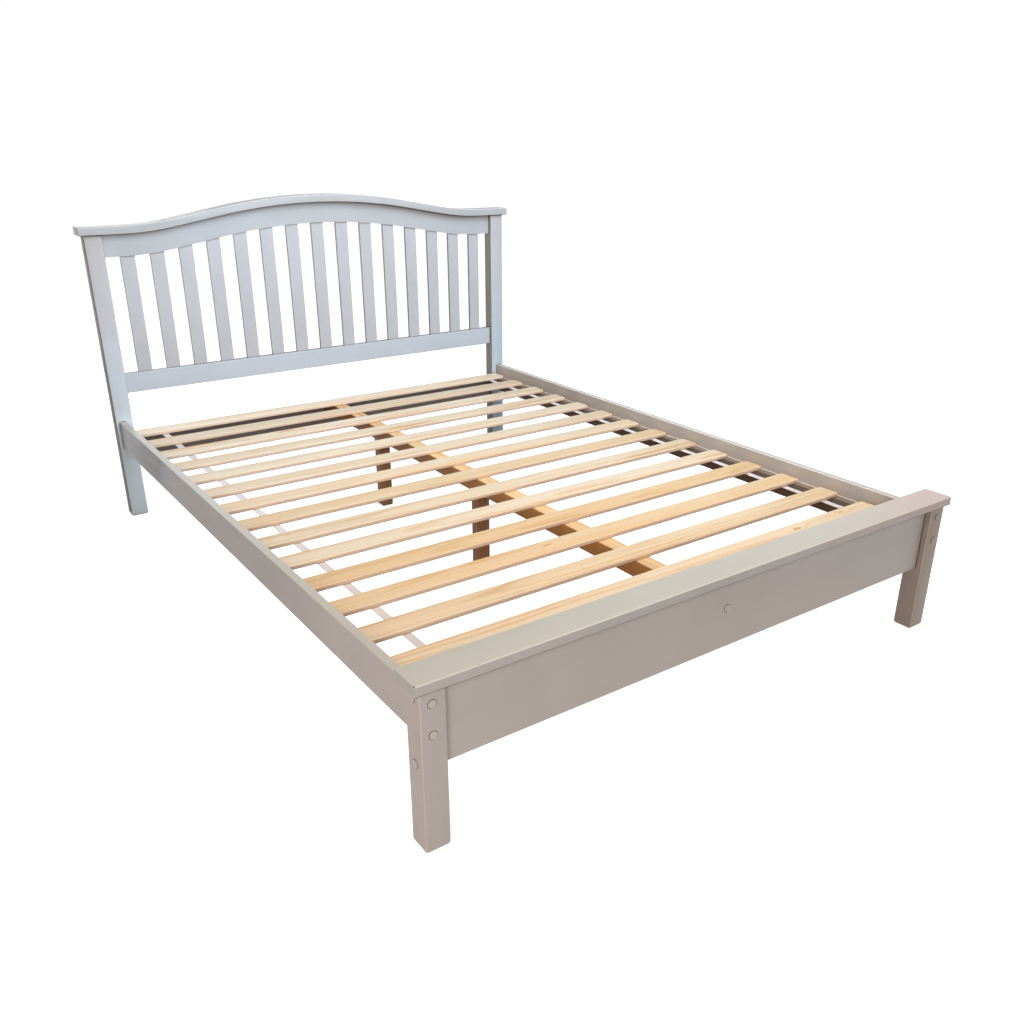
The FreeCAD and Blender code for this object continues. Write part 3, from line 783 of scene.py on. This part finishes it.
@dataclass
class Headboard:
    """The head end: posts, arched rail and moulding, spindles, lower rail and cross rail."""

    paint: PaintShop
    # Painted shade: the posts' left faces, the lower rail's top face, the spindles' left faces and the
    # moulding's left end take these darker colours
    left_post_side: Colour = srgb(84, 77, 75)
    right_post_side: Colour = srgb(150, 150, 146)
    post_specular: float = 0.1
    # How strongly the painted highlight shows on the posts' front left arrises
    post_edge_share: float = 0.35
    spindle_side_shade: Colour = srgb(92, 90, 98)
    lower_rail_top_shade: Colour = srgb(84, 82, 88)
    # Painted light and shade: each of these pieces takes its own colour of the paint for how the light falls
    # on it, darker for the cross rail under the slats, the moulding, the top rail and the spindles, bluer for
    # the lower rail
    cross_rail: Colour = srgb(118, 105, 97)
    moulding: Colour = srgb(171, 173, 176)
    moulding_end_shade: Colour = srgb(146, 142, 138)
    # How strongly the painted highlight shows on the moulding's top front arris
    moulding_edge_share: float = 0.3
    top_rail: Colour = srgb(174, 177, 182)
    spindle: Colour = srgb(180, 183, 189)
    lower_rail: Colour = srgb(185, 193, 203)
    # Painted light and shade on the posts' fronts: a darker patch high up and bluer, lighter patches lower
    # down, where the cool light falls
    left_post_light_and_shade: tuple[Patch, ...] = (
        Patch((-0.764, 1.03, 0.95), 0.45, srgb(180, 178, 180), softness=0.9),
        Patch((-0.764, 1.03, 0.45), 0.26, srgb(197, 207, 218), softness=0.9),
        Patch((-0.764, 1.03, 0.05), 0.45, srgb(226, 246, 255), softness=0.9),
    )
    right_post_light_and_shade: tuple[Patch, ...] = (
        Patch((0.764, 1.03, 0.95), 0.35, srgb(184, 184, 186), softness=0.9),
        Patch((0.764, 1.03, 0.3), 0.5, srgb(187, 203, 213), softness=0.9),
    )
    nosing: Rounding = Rounding(1.5 * MM, 3)
    nosing_sharp: float = math.radians(25)
    spindle_count: int = 15

    def build(self) -> None:
        """Builds the posts and the moulding, and dresses the rails and the spindles."""
        posts = (("left", self.left_post_side, self.left_post_light_and_shade),
                 ("right", self.right_post_side, self.right_post_light_and_shade))
        # Painted highlight along each post's front left arris; painted shade on its left face
        lit = lit_edge(Facing.LEFT_FRONT, self.post_edge_share)
        for side, shade, light_and_shade in posts:
            finish = self.paint.mix(f"post_{side}", Grain.UPRIGHT, FaceCoat(Facing.LEFT, shade), lit,
                                    patches=light_and_shade, specular=self.post_specular)
            Post(f"head_post_{side}", finish).build()
        # Painted shade on the lower rail's top face
        dark_top = FaceCoat(Facing.TOP, self.lower_rail_top_shade)
        for node, colour, *coats in (("headboard_top_rail", self.top_rail),
                                     ("headboard_lower_rail", self.lower_rail, dark_top),
                                     ("head_cross_rail", self.cross_rail)):
            _, name = node.split("_", 1)
            dress(node, self.paint.mix(name, Grain.ACROSS_BED, *coats, colour=colour))
        # Painted shade on the spindles' left faces
        dark_side = FaceCoat(Facing.LEFT, self.spindle_side_shade)
        spindle_paint = self.paint.mix("spindles", Grain.UPRIGHT, dark_side, colour=self.spindle)
        for number in range(1, self.spindle_count + 1):
            dress(f"headboard_spindle_{number:02d}", spindle_paint)
        self.build_moulding()

    def build_moulding(self) -> None:
        """Builds the arched moulding with its nosing."""
        shape = node_shape("headboard_cap_moulding")
        edges = [edge for edge in shape.edges if edge.calc_face_angle(0.0) > self.nosing_sharp]
        round_edges(shape, edges, self.nosing.radius, self.nosing.segments)
        # Painted highlight along the moulding's top front arris, painted shade along its lower front arris
        # and on its left end
        lit = lit_edge(Facing.TOP_FRONT, self.moulding_edge_share)
        coats = (FaceCoat(Facing.LEFT, self.moulding_end_shade), lit, lower_edge())
        finish = self.paint.mix("moulding", Grain.ACROSS_BED, *coats, colour=self.moulding)
        make_piece(shape, "arched_cap_moulding", "painted_wood", finish, "headboard_cap_moulding")


@dataclass
class FootEnd:
    """The foot end: two posts, the panel between them and the cap board."""

    paint: PaintShop
    cap_corner: Rounding = Rounding(5 * MM, 5)
    cap_nosing: Rounding = Rounding(2.6 * MM, 5)
    # Painted light and shade: the cap's top and front take a darker colour, the right part of its front a
    # pinker one, the left post's left face a lighter one, and the right post and its left face darker ones,
    # for how the light falls on them
    cap_colour: Colour = srgb(190, 188, 180)
    cap_front: Colour = srgb(190, 190, 188)
    cap_front_right: Colour = srgb(196, 184, 181)
    cap_front_right_from: Pair = (0.1, 0.75)
    # How strongly the painted highlight shows on the cap's top front arris
    cap_edge_share: float = 0.45
    left_post_side: Colour = srgb(203, 190, 184)
    right_post: Colour = srgb(167, 153, 140)
    right_post_side: Colour = srgb(161, 147, 138)
    # How strongly the painted highlight shows on the posts' front left arrises
    post_edge_share: float = 0.32
    # A broad patch of painted light at the cap's right end, then small chips of wear along its front edge
    cap_light_and_chips: tuple[Patch, ...] = (
        Patch((0.85, -1.05, 0.37), 0.62, srgb(208, 190, 183), share=0.75, softness=0.9),
        Patch((-0.803, -1.0655, 0.3785), 2.2 * MM),
        Patch((-0.8, -1.068, 0.3715), 1.6 * MM),
        Patch((-0.671, -1.067, 0.3782), 1.5 * MM),
        Patch((-0.42, -1.0675, 0.3778), 1.0 * MM),
    )

    def build(self) -> None:
        """Builds the posts and the cap board, and dresses the panel."""
        # Painted highlight along each post's front left arris, and painted light and shade on the posts' left
        # faces
        lit = lit_edge(Facing.LEFT_FRONT, self.post_edge_share)
        left_side = FaceCoat(Facing.LEFT, self.left_post_side)
        Post("foot_post_left", self.paint.mix("post_left", Grain.UPRIGHT, left_side, lit)).build()
        right_side = FaceCoat(Facing.LEFT, self.right_post_side)
        right_paint = self.paint.mix("post_right", Grain.UPRIGHT, right_side, lit, colour=self.right_post)
        Post("foot_post_right", right_paint).build()
        dress("foot_panel", self.paint.mix("panel", Grain.ACROSS_BED))
        self.build_cap()

    def build_cap(self) -> None:
        """Builds the cap board."""
        # Painted light and shade on the cap's front, a painted highlight along its top front arris and
        # painted shade along its lower front arris
        coats = (
            FaceCoat(Facing.FRONT, self.cap_front),
            FaceCoat(Facing.FRONT, self.cap_front_right, band=("X", *self.cap_front_right_from)),
            lit_edge(Facing.TOP_FRONT, self.cap_edge_share),
            lower_edge(),
        )
        finish = self.paint.mix("cap", Grain.ACROSS_BED, *coats, patches=self.cap_light_and_chips,
                                colour=self.cap_colour)
        board = make_board(*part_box("foot_cap_board"), self.cap_corner, self.cap_nosing)
        make_piece(board, "foot_cap", "painted_wood", finish, "foot_cap_board")


@dataclass
class SideRails:
    """The side rails and the bearers along them."""

    paint: PaintShop
    # The bearers' paint: a thin coat, made darker and browner with painted shade
    thin_coat_and_shade: Colour = srgb(134, 118, 107)
    thin_specular: float = 0.2
    thin_roughness: float = 0.6
    # Painted shade: the lower part of each bearer's inner face takes this dark brown
    inner_face_shade: Colour = srgb(108, 83, 68)
    inner_face_shade_from: Pair = (277 * MM, 274 * MM)
    # A pale line along each bearer's top, next to the rail
    pale_top_line: Colour = srgb(236, 226, 218)
    pale_top_line_from: Pair = (753 * MM, 754 * MM)
    # How strong the painted shade in the rails' crevices is
    crevice_depth: float = 0.35
    # Painted light, shade and reflection: the left rail and its top take darker colours of the paint, with
    # broad patches lighter near the foot, bluer towards the head and a dark reflection towards the head; the
    # right rail's top and a broad patch on it are darker
    left_rail: Colour = srgb(177, 166, 160)
    left_rail_top: Colour = srgb(188, 182, 173)
    left_rail_light_and_shade: tuple[Patch, ...] = (
        Patch((-0.785, -1.05, 0.27), 0.7, srgb(201, 192, 187), softness=0.9),
        Patch((-0.785, 0.6, 0.27), 0.75, srgb(180, 182, 188), softness=0.8),
        Patch((-0.785, 0.595, 0.27), 0.32, srgb(108, 104, 106), share=0.95, softness=0.95),
    )
    right_rail_top: Colour = srgb(186, 176, 170)
    # Painted highlight along the right rail's inner top arris
    right_rail_line: FaceCoat = FaceCoat(Facing.TOP, srgb(222, 214, 208), band=("X", 767 * MM, 765 * MM))
    right_rail_shade: Patch = Patch((0.77, 0.6, 0.27), 1.5, srgb(178, 171, 164), softness=0.8)

    def build(self) -> None:
        """Dresses the rails and the bearers, whose thin paint is darkened with painted shade."""
        self.dress_bearer("left", Facing.RIGHT, -1)
        self.dress_bearer("right", Facing.LEFT, 1)
        left = self.paint.mix("rail_left", Grain.ALONG_BED, FaceCoat(Facing.TOP, self.left_rail_top),
                              colour=self.left_rail, patches=self.left_rail_light_and_shade,
                              crevice_depth=self.crevice_depth)
        dress("side_rail_left", left)
        right = self.paint.mix("rail_right", Grain.ALONG_BED, FaceCoat(Facing.TOP, self.right_rail_top),
                               self.right_rail_line, patches=(self.right_rail_shade,),
                               crevice_depth=self.crevice_depth)
        dress("side_rail_right", right)

    def dress_bearer(self, side: str, inward: Facing, outward: int) -> None:
        """Dresses one bearer: thin paint darkened with painted shade, painted shade in dark brown on the
        lower part of its inner face, and a pale line along its top next to the rail.

        Args:
            side: Its side of the bed.
            inward: The way that its inner face looks.
            outward: 1 on the right of the bed and -1 on the left.
        """
        # Painted shade in dark brown on the lower part of the inner face
        bare = FaceCoat(inward, self.inner_face_shade, band=("Z", *self.inner_face_shade_from))
        # A pale line along the top, next to the rail
        start, full = self.pale_top_line_from
        pale_top_line = FaceCoat(Facing.TOP, self.pale_top_line, band=("X", outward * start, outward * full))
        coat = SatinPaint(f"thin_shaded_bearer_paint_{side}", self.thin_coat_and_shade, Grain.ALONG_BED, (bare, pale_top_line),
                          crevice_depth=0.0, specular=self.thin_specular, roughness=self.thin_roughness)
        dress(f"slat_bearer_{side}", coat.material())


@dataclass
class CentreSupport:
    """The centre rail of bare pine and its two legs."""

    pale: Colour = srgb(232, 197, 150)
    late: Colour = srgb(170, 122, 70)
    # Painted shade: the rail's sides are darkened, and its far left side more deeply towards the head
    side: Colour = srgb(234, 190, 126)
    side_share: float = 0.95
    far_side_shade: FaceCoat = FaceCoat(Facing.LEFT, srgb(140, 90, 50), share=0.8, band=("Y", -0.25, 0.6))
    leg_pale: Colour = srgb(184, 128, 80)
    leg_late: Colour = srgb(64, 34, 16)
    ring: float = 4.2 * MM
    streak: float = 0.8
    slope: Pair = (math.radians(0.8), math.radians(-0.6))

    # Where each timber's heart line runs, from its middle
    HEARTS = {
        "centre_rail": (9 * MM, 22 * MM),
        "centre_leg_front": (15 * MM, 13 * MM),
        "centre_leg_rear": (21 * MM, 4 * MM),
    }

    def build(self) -> None:
        """Dresses the centre rail and the legs."""
        for node, heart in self.HEARTS.items():
            low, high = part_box(node)
            middle = tuple((low + high) / 2)
            if node == "centre_rail":
                look = (self.pale, self.late, Grain.ALONG_BED)
                # Painted shade on the rail's sides
                sides = {"side": self.side, "side_share": self.side_share, "side_blend": "MULTIPLY",
                         "coats": (self.far_side_shade,)}
            else:
                look = (self.leg_pale, self.leg_late, Grain.UPRIGHT)
                sides = {"side_share": 0.0}
            pine = Pine(f"pine_{node}", *look, middle, heart, self.slope, ring=self.ring, streak=self.streak,
                        lower_arris_share=0.0, **sides)
            dress(node, pine.material())


@dataclass
class SlatDeck:
    """The loose slats, each of its own board, and the two tapes that hold them apart."""

    corner: Rounding = Rounding(8 * MM, 6)
    arris: Rounding = Rounding(1.6 * MM, 3)
    pale: Colour = srgb(244, 229, 208)
    warm: Colour = srgb(238, 205, 157)
    late: Colour = srgb(212, 162, 96)
    # How strongly the painted highlight shows along each slat's top front arris
    edge_share: float = 0.4
    tape_sag: float = 0.6 * MM
    tape_steps: int = 4
    tape_cuts: int = 3
    staple_width: float = 10 * MM
    staple_wire: float = 0.8 * MM
    staple_drop: float = 0.6
    staple_rounding: float = 0.3

    # The ranges of the draws: late wood's tone, heart line and slope, ring width and streaks
    seed: int = 7
    late_tones: Pair = (0.85, 1.15)
    heart_across: Pair = (-28, 28)
    heart_height: Pair = (14, 60)
    slope_degrees: Pair = (-1.4, 1.4)
    skew_degrees: Pair = (-0.9, 0.9)
    ring_widths: Pair = (7.0, 13.0)
    streaks: Pair = (0.55, 0.95)

    # How far each slat's tone goes from pale to warm, from the head end
    WARMTH_SHARES = (0.0, 0.0, 0.0, 0.18, 0.12, 0.22, 0.22, 0.63, 0.3, 0.12, 0.93, 0.7, 0.55, 0.35)

    # Each slat's brightness, from the head end
    BRIGHTNESS_SHARES = (0.98, 0.74, 0.89, 0.85, 0.85, 0.81, 0.8, 0.79, 0.84, 0.87, 0.87, 0.89, 0.92, 0.98)

    KNOTS = {
        9: (Knot(0.145, 0.024, 3 * MM),),
        12: (Knot(-0.158, 0.006, 5 * MM),),
        14: (Knot(0.44, 0.002, 6 * MM), Knot(0.63, 0.012, 4 * MM)),
    }

    # Where the two staples of each crossing stand, across the slat
    STAPLE_SHARES = (0.3, 0.7)

    def build(self) -> None:
        """Builds the slats, the tapes and the tapes' staples."""
        draw = random.Random(self.seed)
        for number in range(1, len(self.WARMTH_SHARES) + 1):
            self.build_slat(number, draw)
        webbing = Webbing().material()
        wire = BrightWire().material()
        for side in ("left", "right"):
            self.build_tape(side, webbing)
            self.build_staples(side, wire)

    def build_slat(self, number: int, draw: random.Random) -> None:
        """Builds one slat, with a figure of its own that is drawn for it.

        Args:
            number: Its number, from 1 at the head end.
            draw: What the board's figure is drawn from.
        """
        node = f"bed_slat_{number:02d}"
        low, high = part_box(node)
        pale = Vector(self.pale).lerp(Vector(self.warm), self.WARMTH_SHARES[number - 1])
        pale *= self.BRIGHTNESS_SHARES[number - 1]
        late = Vector(self.late) * draw.uniform(*self.late_tones)
        heart = (draw.uniform(*self.heart_across) * MM, draw.uniform(*self.heart_height) * MM)
        slope = tuple(math.radians(draw.uniform(*span)) for span in (self.slope_degrees, self.skew_degrees))
        # Each slat takes a painted highlight along its top front arris
        pine = Pine(f"pine_slat_{number:02d}", tuple(pale), tuple(late), Grain.ACROSS_BED,
                    tuple((low + high) / 2), heart, slope, self.KNOTS.get(number, ()),
                    (lit_edge(Facing.TOP_FRONT, self.edge_share),), ring=draw.uniform(*self.ring_widths) * MM,
                    streak=draw.uniform(*self.streaks))
        board = make_board(low, high, self.corner, self.arris)
        make_piece(board, f"slat_{number:02d}", "slat_pine", pine.material(), node)

    def slat_boxes(self) -> list[tuple[Vector, Vector]]:
        """Gives the slats' boxes, from the head end."""
        return [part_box(f"bed_slat_{number:02d}") for number in range(1, len(self.WARMTH_SHARES) + 1)]

    def stations(self) -> list[Pair]:
        """Gives places along a tape, from the foot end, and the share of the sag at each.

        Returns:
            The places and shares.
        """
        boxes = self.slat_boxes()[::-1]
        stations = []
        for (low, high), (next_low, _) in zip(boxes, boxes[1:]):
            stations += [(low.y, 0.0), (high.y, 0.0)]
            for step in range(1, self.tape_steps):
                share = step / self.tape_steps
                stations.append((high.y + share * (next_low.y - high.y), 4 * share * (1 - share)))
        last_low, last_high = boxes[-1]
        return stations + [(last_low.y, 0.0), (last_high.y, 0.0)]

    def build_tape(self, side: str, material: Material) -> None:
        """Builds one tape: a woven strip that hangs a little between the slats.

        Args:
            side: Its side of the bed.
            material: Its finish.
        """
        low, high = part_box(f"webbing_tape_{side}")
        across = 0
        shape = bmesh.new()
        rows = []
        for place, hang in self.stations():
            top = high.z - hang * self.tape_sag
            rows.append(shape.edges.new([shape.verts.new((x, place, top)) for x in (low.x, high.x)]))
        for pair in zip(rows, rows[1:]):
            bmesh.ops.bridge_loops(shape, edges=list(pair))
        wide = [edge for edge in shape.edges if runs_along(edge, across)]
        bmesh.ops.subdivide_edges(shape, edges=wide, cuts=self.tape_cuts)
        bmesh.ops.recalc_face_normals(shape, faces=shape.faces)
        bmesh.ops.solidify(shape, geom=list(shape.faces), thickness=high.z - low.z)
        piece = make_piece(shape, f"slat_tape_{side}", "tape_fabric", material, f"webbing_tape_{side}")

    def build_staples(self, side: str, material: Material) -> None:
        """Builds the staples that fix one tape to the undersides of the slats.

        Args:
            side: The tape's side of the bed.
            material: Their finish.
        """
        low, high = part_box(f"webbing_tape_{side}")
        middle = (low.x + high.x) / 2
        half = Vector((self.staple_width, self.staple_wire, self.staple_wire)) / 2
        shape = bmesh.new()
        for slat_low, slat_high in self.slat_boxes():
            for share in self.STAPLE_SHARES:
                place = slat_low.y + share * (slat_high.y - slat_low.y)
                wire = bmesh.ops.create_cube(shape, size=1.0)["verts"]
                bmesh.ops.scale(shape, vec=half * 2, verts=wire)
                centre = Vector((middle, place, low.z - half.z * self.staple_drop))
                bmesh.ops.translate(shape, vec=centre, verts=wire)
        round_edges(shape, shape.edges, self.staple_wire * self.staple_rounding, segments=2)
        make_piece(shape, f"tape_staples_{side}", "tape_fabric", material)


@dataclass
class BoltCaps:
    """The round painted caps over the heads of the connecting bolts, each with a dark ring round it: its
    joint, and painted shade round the raised cap.
    """

    paint: PaintShop
    seat: float = 0.25 * MM
    seam_width: float = 1.4 * MM
    seam_height: float = 0.35 * MM
    lip: float = 1.2 * MM
    lip_steps: int = 4
    crown: float = 0.3 * MM
    sides: int = 40
    colour: Colour = srgb(207, 202, 196)
    # A dark ring round each cap: its joint, and painted shade round the raised cap
    seam_and_shade: Colour = srgb(112, 101, 95)
    # Painted shade on the caps of the right foot post
    right_cap_shade: Patch = Patch((0.765, -1.06, 0.28), 0.3, srgb(172, 160, 150))

    NODE = "bolt_cover_caps"

    # How far out the crown's rings stand
    CROWN_SHARES = (0.7, 0.4, 0.0)

    # How many of the outline's first stretches take the dark colour of the joint and its painted shade: the
    # back, the flange and the wall
    SEAM_AND_SHADE_STRETCHES = 4

    def build(self) -> None:
        """Builds every cap where the frame has it."""
        shape = bmesh.new()
        for low, high in self.cap_boxes():
            self.build_cap(shape, low, high)
        finish = self.paint.mix("bolt_caps", Grain.ACROSS_BED, patches=(self.right_cap_shade,),
                                colour=self.colour)
        piece = make_piece(shape, "bolt_caps", "cover_cap_plastic", finish, self.NODE)
        piece.data.materials.append(self.paint.mix("cap_seams_and_shade", Grain.ACROSS_BED, colour=self.seam_and_shade))

    def cap_boxes(self) -> list[tuple[Vector, Vector]]:
        """Gives the box of each cap of the frame's node, always in the same order.

        Returns:
            The boxes' lowest and highest corners.
        """
        digits = 4
        solid = node_shape(self.NODE)
        waiting = set(solid.verts)
        boxes = []
        while waiting:
            open_ends = [waiting.pop()]
            found = set(open_ends)
            while open_ends:
                vert = open_ends.pop()
                joined = {edge.other_vert(vert) for edge in vert.link_edges} - found
                found |= joined
                open_ends += joined
            waiting -= found
            places = [vert.co for vert in found]
            boxes.append((Vector(map(min, zip(*places))), Vector(map(max, zip(*places)))))
        solid.free()
        return sorted(boxes, key=lambda box: tuple(round(value, digits) for value in box[0]))

    def outline(self, radius: float, height: float) -> list[Pair]:
        """Gives half of a cap's outline, from the middle of its back to the top of its crown.

        Args:
            radius: The cap's radius.
            height: How high it stands on its seat.

        Returns:
            How far out from the axis and up from the seat each point is.
        """
        rim = radius - self.seam_width
        wall = height - self.lip
        points = [(0.0, -self.seat), (radius, -self.seat), (radius, self.seam_height),
                  (rim, self.seam_height), (rim, wall)]
        for step in range(1, self.lip_steps + 1):
            turn = step / self.lip_steps * math.pi / 2
            points.append((rim - self.lip * (1 - math.cos(turn)), wall + self.lip * math.sin(turn)))
        for share in self.CROWN_SHARES:
            points.append(((rim - self.lip) * share, height + self.crown * (1 - share**2)))
        return [(out, up - self.crown) for out, up in points]

    def build_cap(self, shape: Shape, low: Vector, high: Vector) -> None:
        """Turns one cap on its axis, in the box of the frame's cap.

        Args:
            shape: The shape that takes the cap.
            low: The box's lowest corner.
            high: The box's highest corner.
        """
        size = high - low
        axis = min(range(3), key=lambda number: size[number])
        outward = Vector((0.0, 0.0, 0.0))
        outward[axis] = math.copysign(1.0, (low + high)[axis])
        seat = (low + high) / 2
        seat[axis] = low[axis] if outward[axis] > 0 else high[axis]
        turn = Vector((0, 0, 1)).rotation_difference(outward)
        rings = []
        for out, up in self.outline(max(size) / 2, size[axis]):
            turns = [math.tau * side / self.sides for side in range(self.sides if out else 1)]
            places = [Vector((out * math.cos(angle), out * math.sin(angle), up)) for angle in turns]
            rings.append([shape.verts.new(seat + turn @ place) for place in places])
        for stretch, (lower, upper) in enumerate(zip(rings, rings[1:])):
            for side in range(self.sides):
                after = side + 1
                corners = (lower[side % len(lower)], lower[after % len(lower)],
                           upper[after % len(upper)], upper[side % len(upper)])
                face = shape.faces.new(tuple(dict.fromkeys(corners)))
                face.material_index = int(stretch < self.SEAM_AND_SHADE_STRETCHES)


@dataclass
class PhotoCamera:
    """The camera, where the photograph was taken from."""

    place: Place = (-1.4433, -2.2905, 1.2496)
    azimuth: float = math.radians(35.657)
    pitch: float = math.radians(23.658)
    roll: float = math.radians(0.301)
    focal_pixels: float = 935.8
    centre_pixels: Pair = (527.8, 542.7)
    picture_pixels: int = 1024
    sensor: float = 36.0

    def build(self) -> None:
        """Makes the camera and sets it as the scene's."""
        data = bpy.data.cameras.new("photo_camera")
        data.sensor_width = self.sensor
        data.lens = self.focal_pixels * self.sensor / self.picture_pixels
        half = self.picture_pixels / 2
        data.shift_x = (half - self.centre_pixels[0]) / self.picture_pixels
        data.shift_y = (self.centre_pixels[1] - half) / self.picture_pixels
        camera = bpy.data.objects.new("photo_camera", data)
        turns = ((-self.azimuth, "Z"), (math.pi / 2 - self.pitch, "X"), (self.roll, "Z"))
        heading, tilt, roll = (Matrix.Rotation(angle, 4, axis) for angle, axis in turns)
        camera.matrix_world = Matrix.Translation(self.place) @ heading @ tilt @ roll
        bpy.context.scene.collection.objects.link(camera)
        bpy.context.scene.camera = camera
        LOG.info("camera at %s, lens %.2f mm", self.place, data.lens)


@dataclass(frozen=True)
class Lamp:
    """A soft square lamp, aimed at a place."""

    name: str
    place: Place
    target: Place
    size: float
    power: float
    colour: Colour

    def build(self) -> None:
        """Makes the lamp."""
        data = bpy.data.lights.new(self.name, "AREA")
        data.size = self.size
        data.energy = self.power
        data.color = self.colour
        lamp = bpy.data.objects.new(self.name, data)
        way = Vector(self.target) - Vector(self.place)
        lamp.matrix_world = Matrix.Translation(self.place) @ way.to_track_quat("-Z", "Y").to_matrix().to_4x4()
        lamp.visible_camera = False
        bpy.context.scene.collection.objects.link(lamp)


@dataclass
class Studio:
    """A plain pale floor, soft lamps and an even white surround."""

    floor_size: float = 60.0
    floor_drop: float = 0.2 * MM
    floor_seen: Colour = (0.84, 0.84, 0.84)
    floor_lift: float = 0.76
    backdrop_lift: float = 1.0
    backdrop_from: Pair = (1.4, 4.0)
    floor_bounce: Colour = (0.32, 0.28, 0.25)
    surround: Colour = (0.105, 0.1, 0.096)
    lamps: tuple[Lamp, ...] = (
        Lamp("room_lamp", (-2.6, -3.2, 1.6), (-0.6, -0.9, 0.2), 1.6, 66.0, (1.0, 0.89, 0.85)),
        Lamp("front_lamp", (2.4, -3.4, 1.8), (0.0, -0.9, 0.3), 1.6, 20.0, (1.0, 0.97, 0.98)),
        Lamp("ceiling_lamp", (0.3, -1.0, 2.4), (0.0, 1.05, 0.7), 1.6, 34.0, (1.0, 0.77, 0.55)),
        Lamp("head_lamp", (0.1, 0.3, 2.3), (0.0, 0.75, 0.3), 1.4, 9.0, (1.0, 0.93, 0.95)),
        Lamp("window_lamp", (1.0, -0.3, 1.9), (-0.1, 1.05, 0.6), 1.2, 26.0, (0.42, 0.7, 0.94)),
        Lamp("side_window_lamp", (-0.45, 0.2, 1.2), (-0.74, 1.05, 0.35), 0.8, 4.0, (0.55, 0.8, 1.0)),
        Lamp("foot_lamp", (-1.0, -1.3, 2.2), (-0.6, -0.8, 0.3), 1.4, 3.5, (0.9, 1.0, 0.75)),
        Lamp("back_lamp", (-0.6, 3.2, 0.9), (-0.1, 1.05, 0.6), 1.6, 14.0, (1.0, 0.97, 0.95)),
    )

    def build(self) -> None:
        """Makes the floor, the surround and the lamps."""
        self.build_floor()
        self.build_surround()
        for lamp in self.lamps:
            lamp.build()
        bpy.context.scene.view_settings.view_transform = "Standard"

    @staticmethod
    def seen(graph: Graph) -> Socket:
        """Gives 1 for rays that show the background, straight or in a reflection.

        Args:
            graph: The tree of the floor or the surround.

        Returns:
            The socket with the share.
        """
        path = graph.add("ShaderNodeLightPath").outputs
        shown = graph.math("MAXIMUM", path["Is Camera Ray"], path["Is Glossy Ray"])
        return graph.math("MAXIMUM", shown, path["Is Transmission Ray"])

    def build_floor(self) -> None:
        """Makes the floor, white where it is looked at and pale grey where it sends light back."""
        shape = bmesh.new()
        bmesh.ops.create_grid(shape, x_segments=1, y_segments=1, size=self.floor_size / 2)
        bmesh.ops.translate(shape, vec=(0, 0, -self.floor_drop), verts=shape.verts)
        mesh = bpy.data.meshes.new("studio_floor")
        shape.to_mesh(mesh)
        shape.free()
        graph = Graph.of_material("studio_floor")
        away = graph.length(graph.place(Grain.ACROSS_BED))
        strength = graph.spread(away, self.floor_lift, self.backdrop_lift, *self.backdrop_from)
        lift = graph.add("ShaderNodeEmission", {"Color": WHITE, "Strength": strength}).outputs[0]
        shown = graph.add("ShaderNodeBsdfDiffuse", {"Color": self.floor_seen}).outputs[0]
        lifted = graph.add("ShaderNodeAddShader", {0: shown, 1: lift}).outputs[0]
        bounce = graph.add("ShaderNodeBsdfDiffuse", {"Color": self.floor_bounce}).outputs[0]
        surface = graph.add("ShaderNodeMixShader", {0: self.seen(graph), 1: bounce, 2: lifted}).outputs[0]
        graph.add("ShaderNodeOutputMaterial", {"Surface": surface})
        mesh.materials.append(graph.owner)
        floor = bpy.data.objects.new("studio_floor", mesh)
        bpy.context.scene.collection.objects.link(floor)

    def build_surround(self) -> None:
        """Makes the even light from all round, shown as white."""
        graph = Graph(bpy.data.worlds.new("studio_surround"))
        dim, bright = (graph.add("ShaderNodeBackground", {"Color": colour}).outputs[0]
                       for colour in (self.surround, WHITE))
        light = graph.add("ShaderNodeMixShader", {0: self.seen(graph), 1: dim, 2: bright}).outputs[0]
        graph.add("ShaderNodeOutputWorld", {"Surface": light})
        bpy.context.scene.world = graph.owner


class Part(Protocol):
    """Anything that can be built in the scene."""

    def build(self) -> None:
        """Builds it."""


def main() -> None:
    """Builds the bed's pieces and finishes, the studio and the camera."""
    logging.basicConfig(level=logging.INFO, format="%(name)s: %(message)s")
    paint = PaintShop("satin_paint", srgb(198, 195, 192))
    # Painted light: the headboard's paint is bluer, for the cool light that falls on the head end
    cool_lit_paint = PaintShop("cool_lit_satin_paint", srgb(189, 192, 198))
    parts: list[Part] = [
        Headboard(cool_lit_paint), FootEnd(paint), SideRails(paint), CentreSupport(), SlatDeck(),
        BoltCaps(paint), Studio(), PhotoCamera(),
    ]
    for part in parts:
        part.build()


if __name__ == "__main__":
    main()
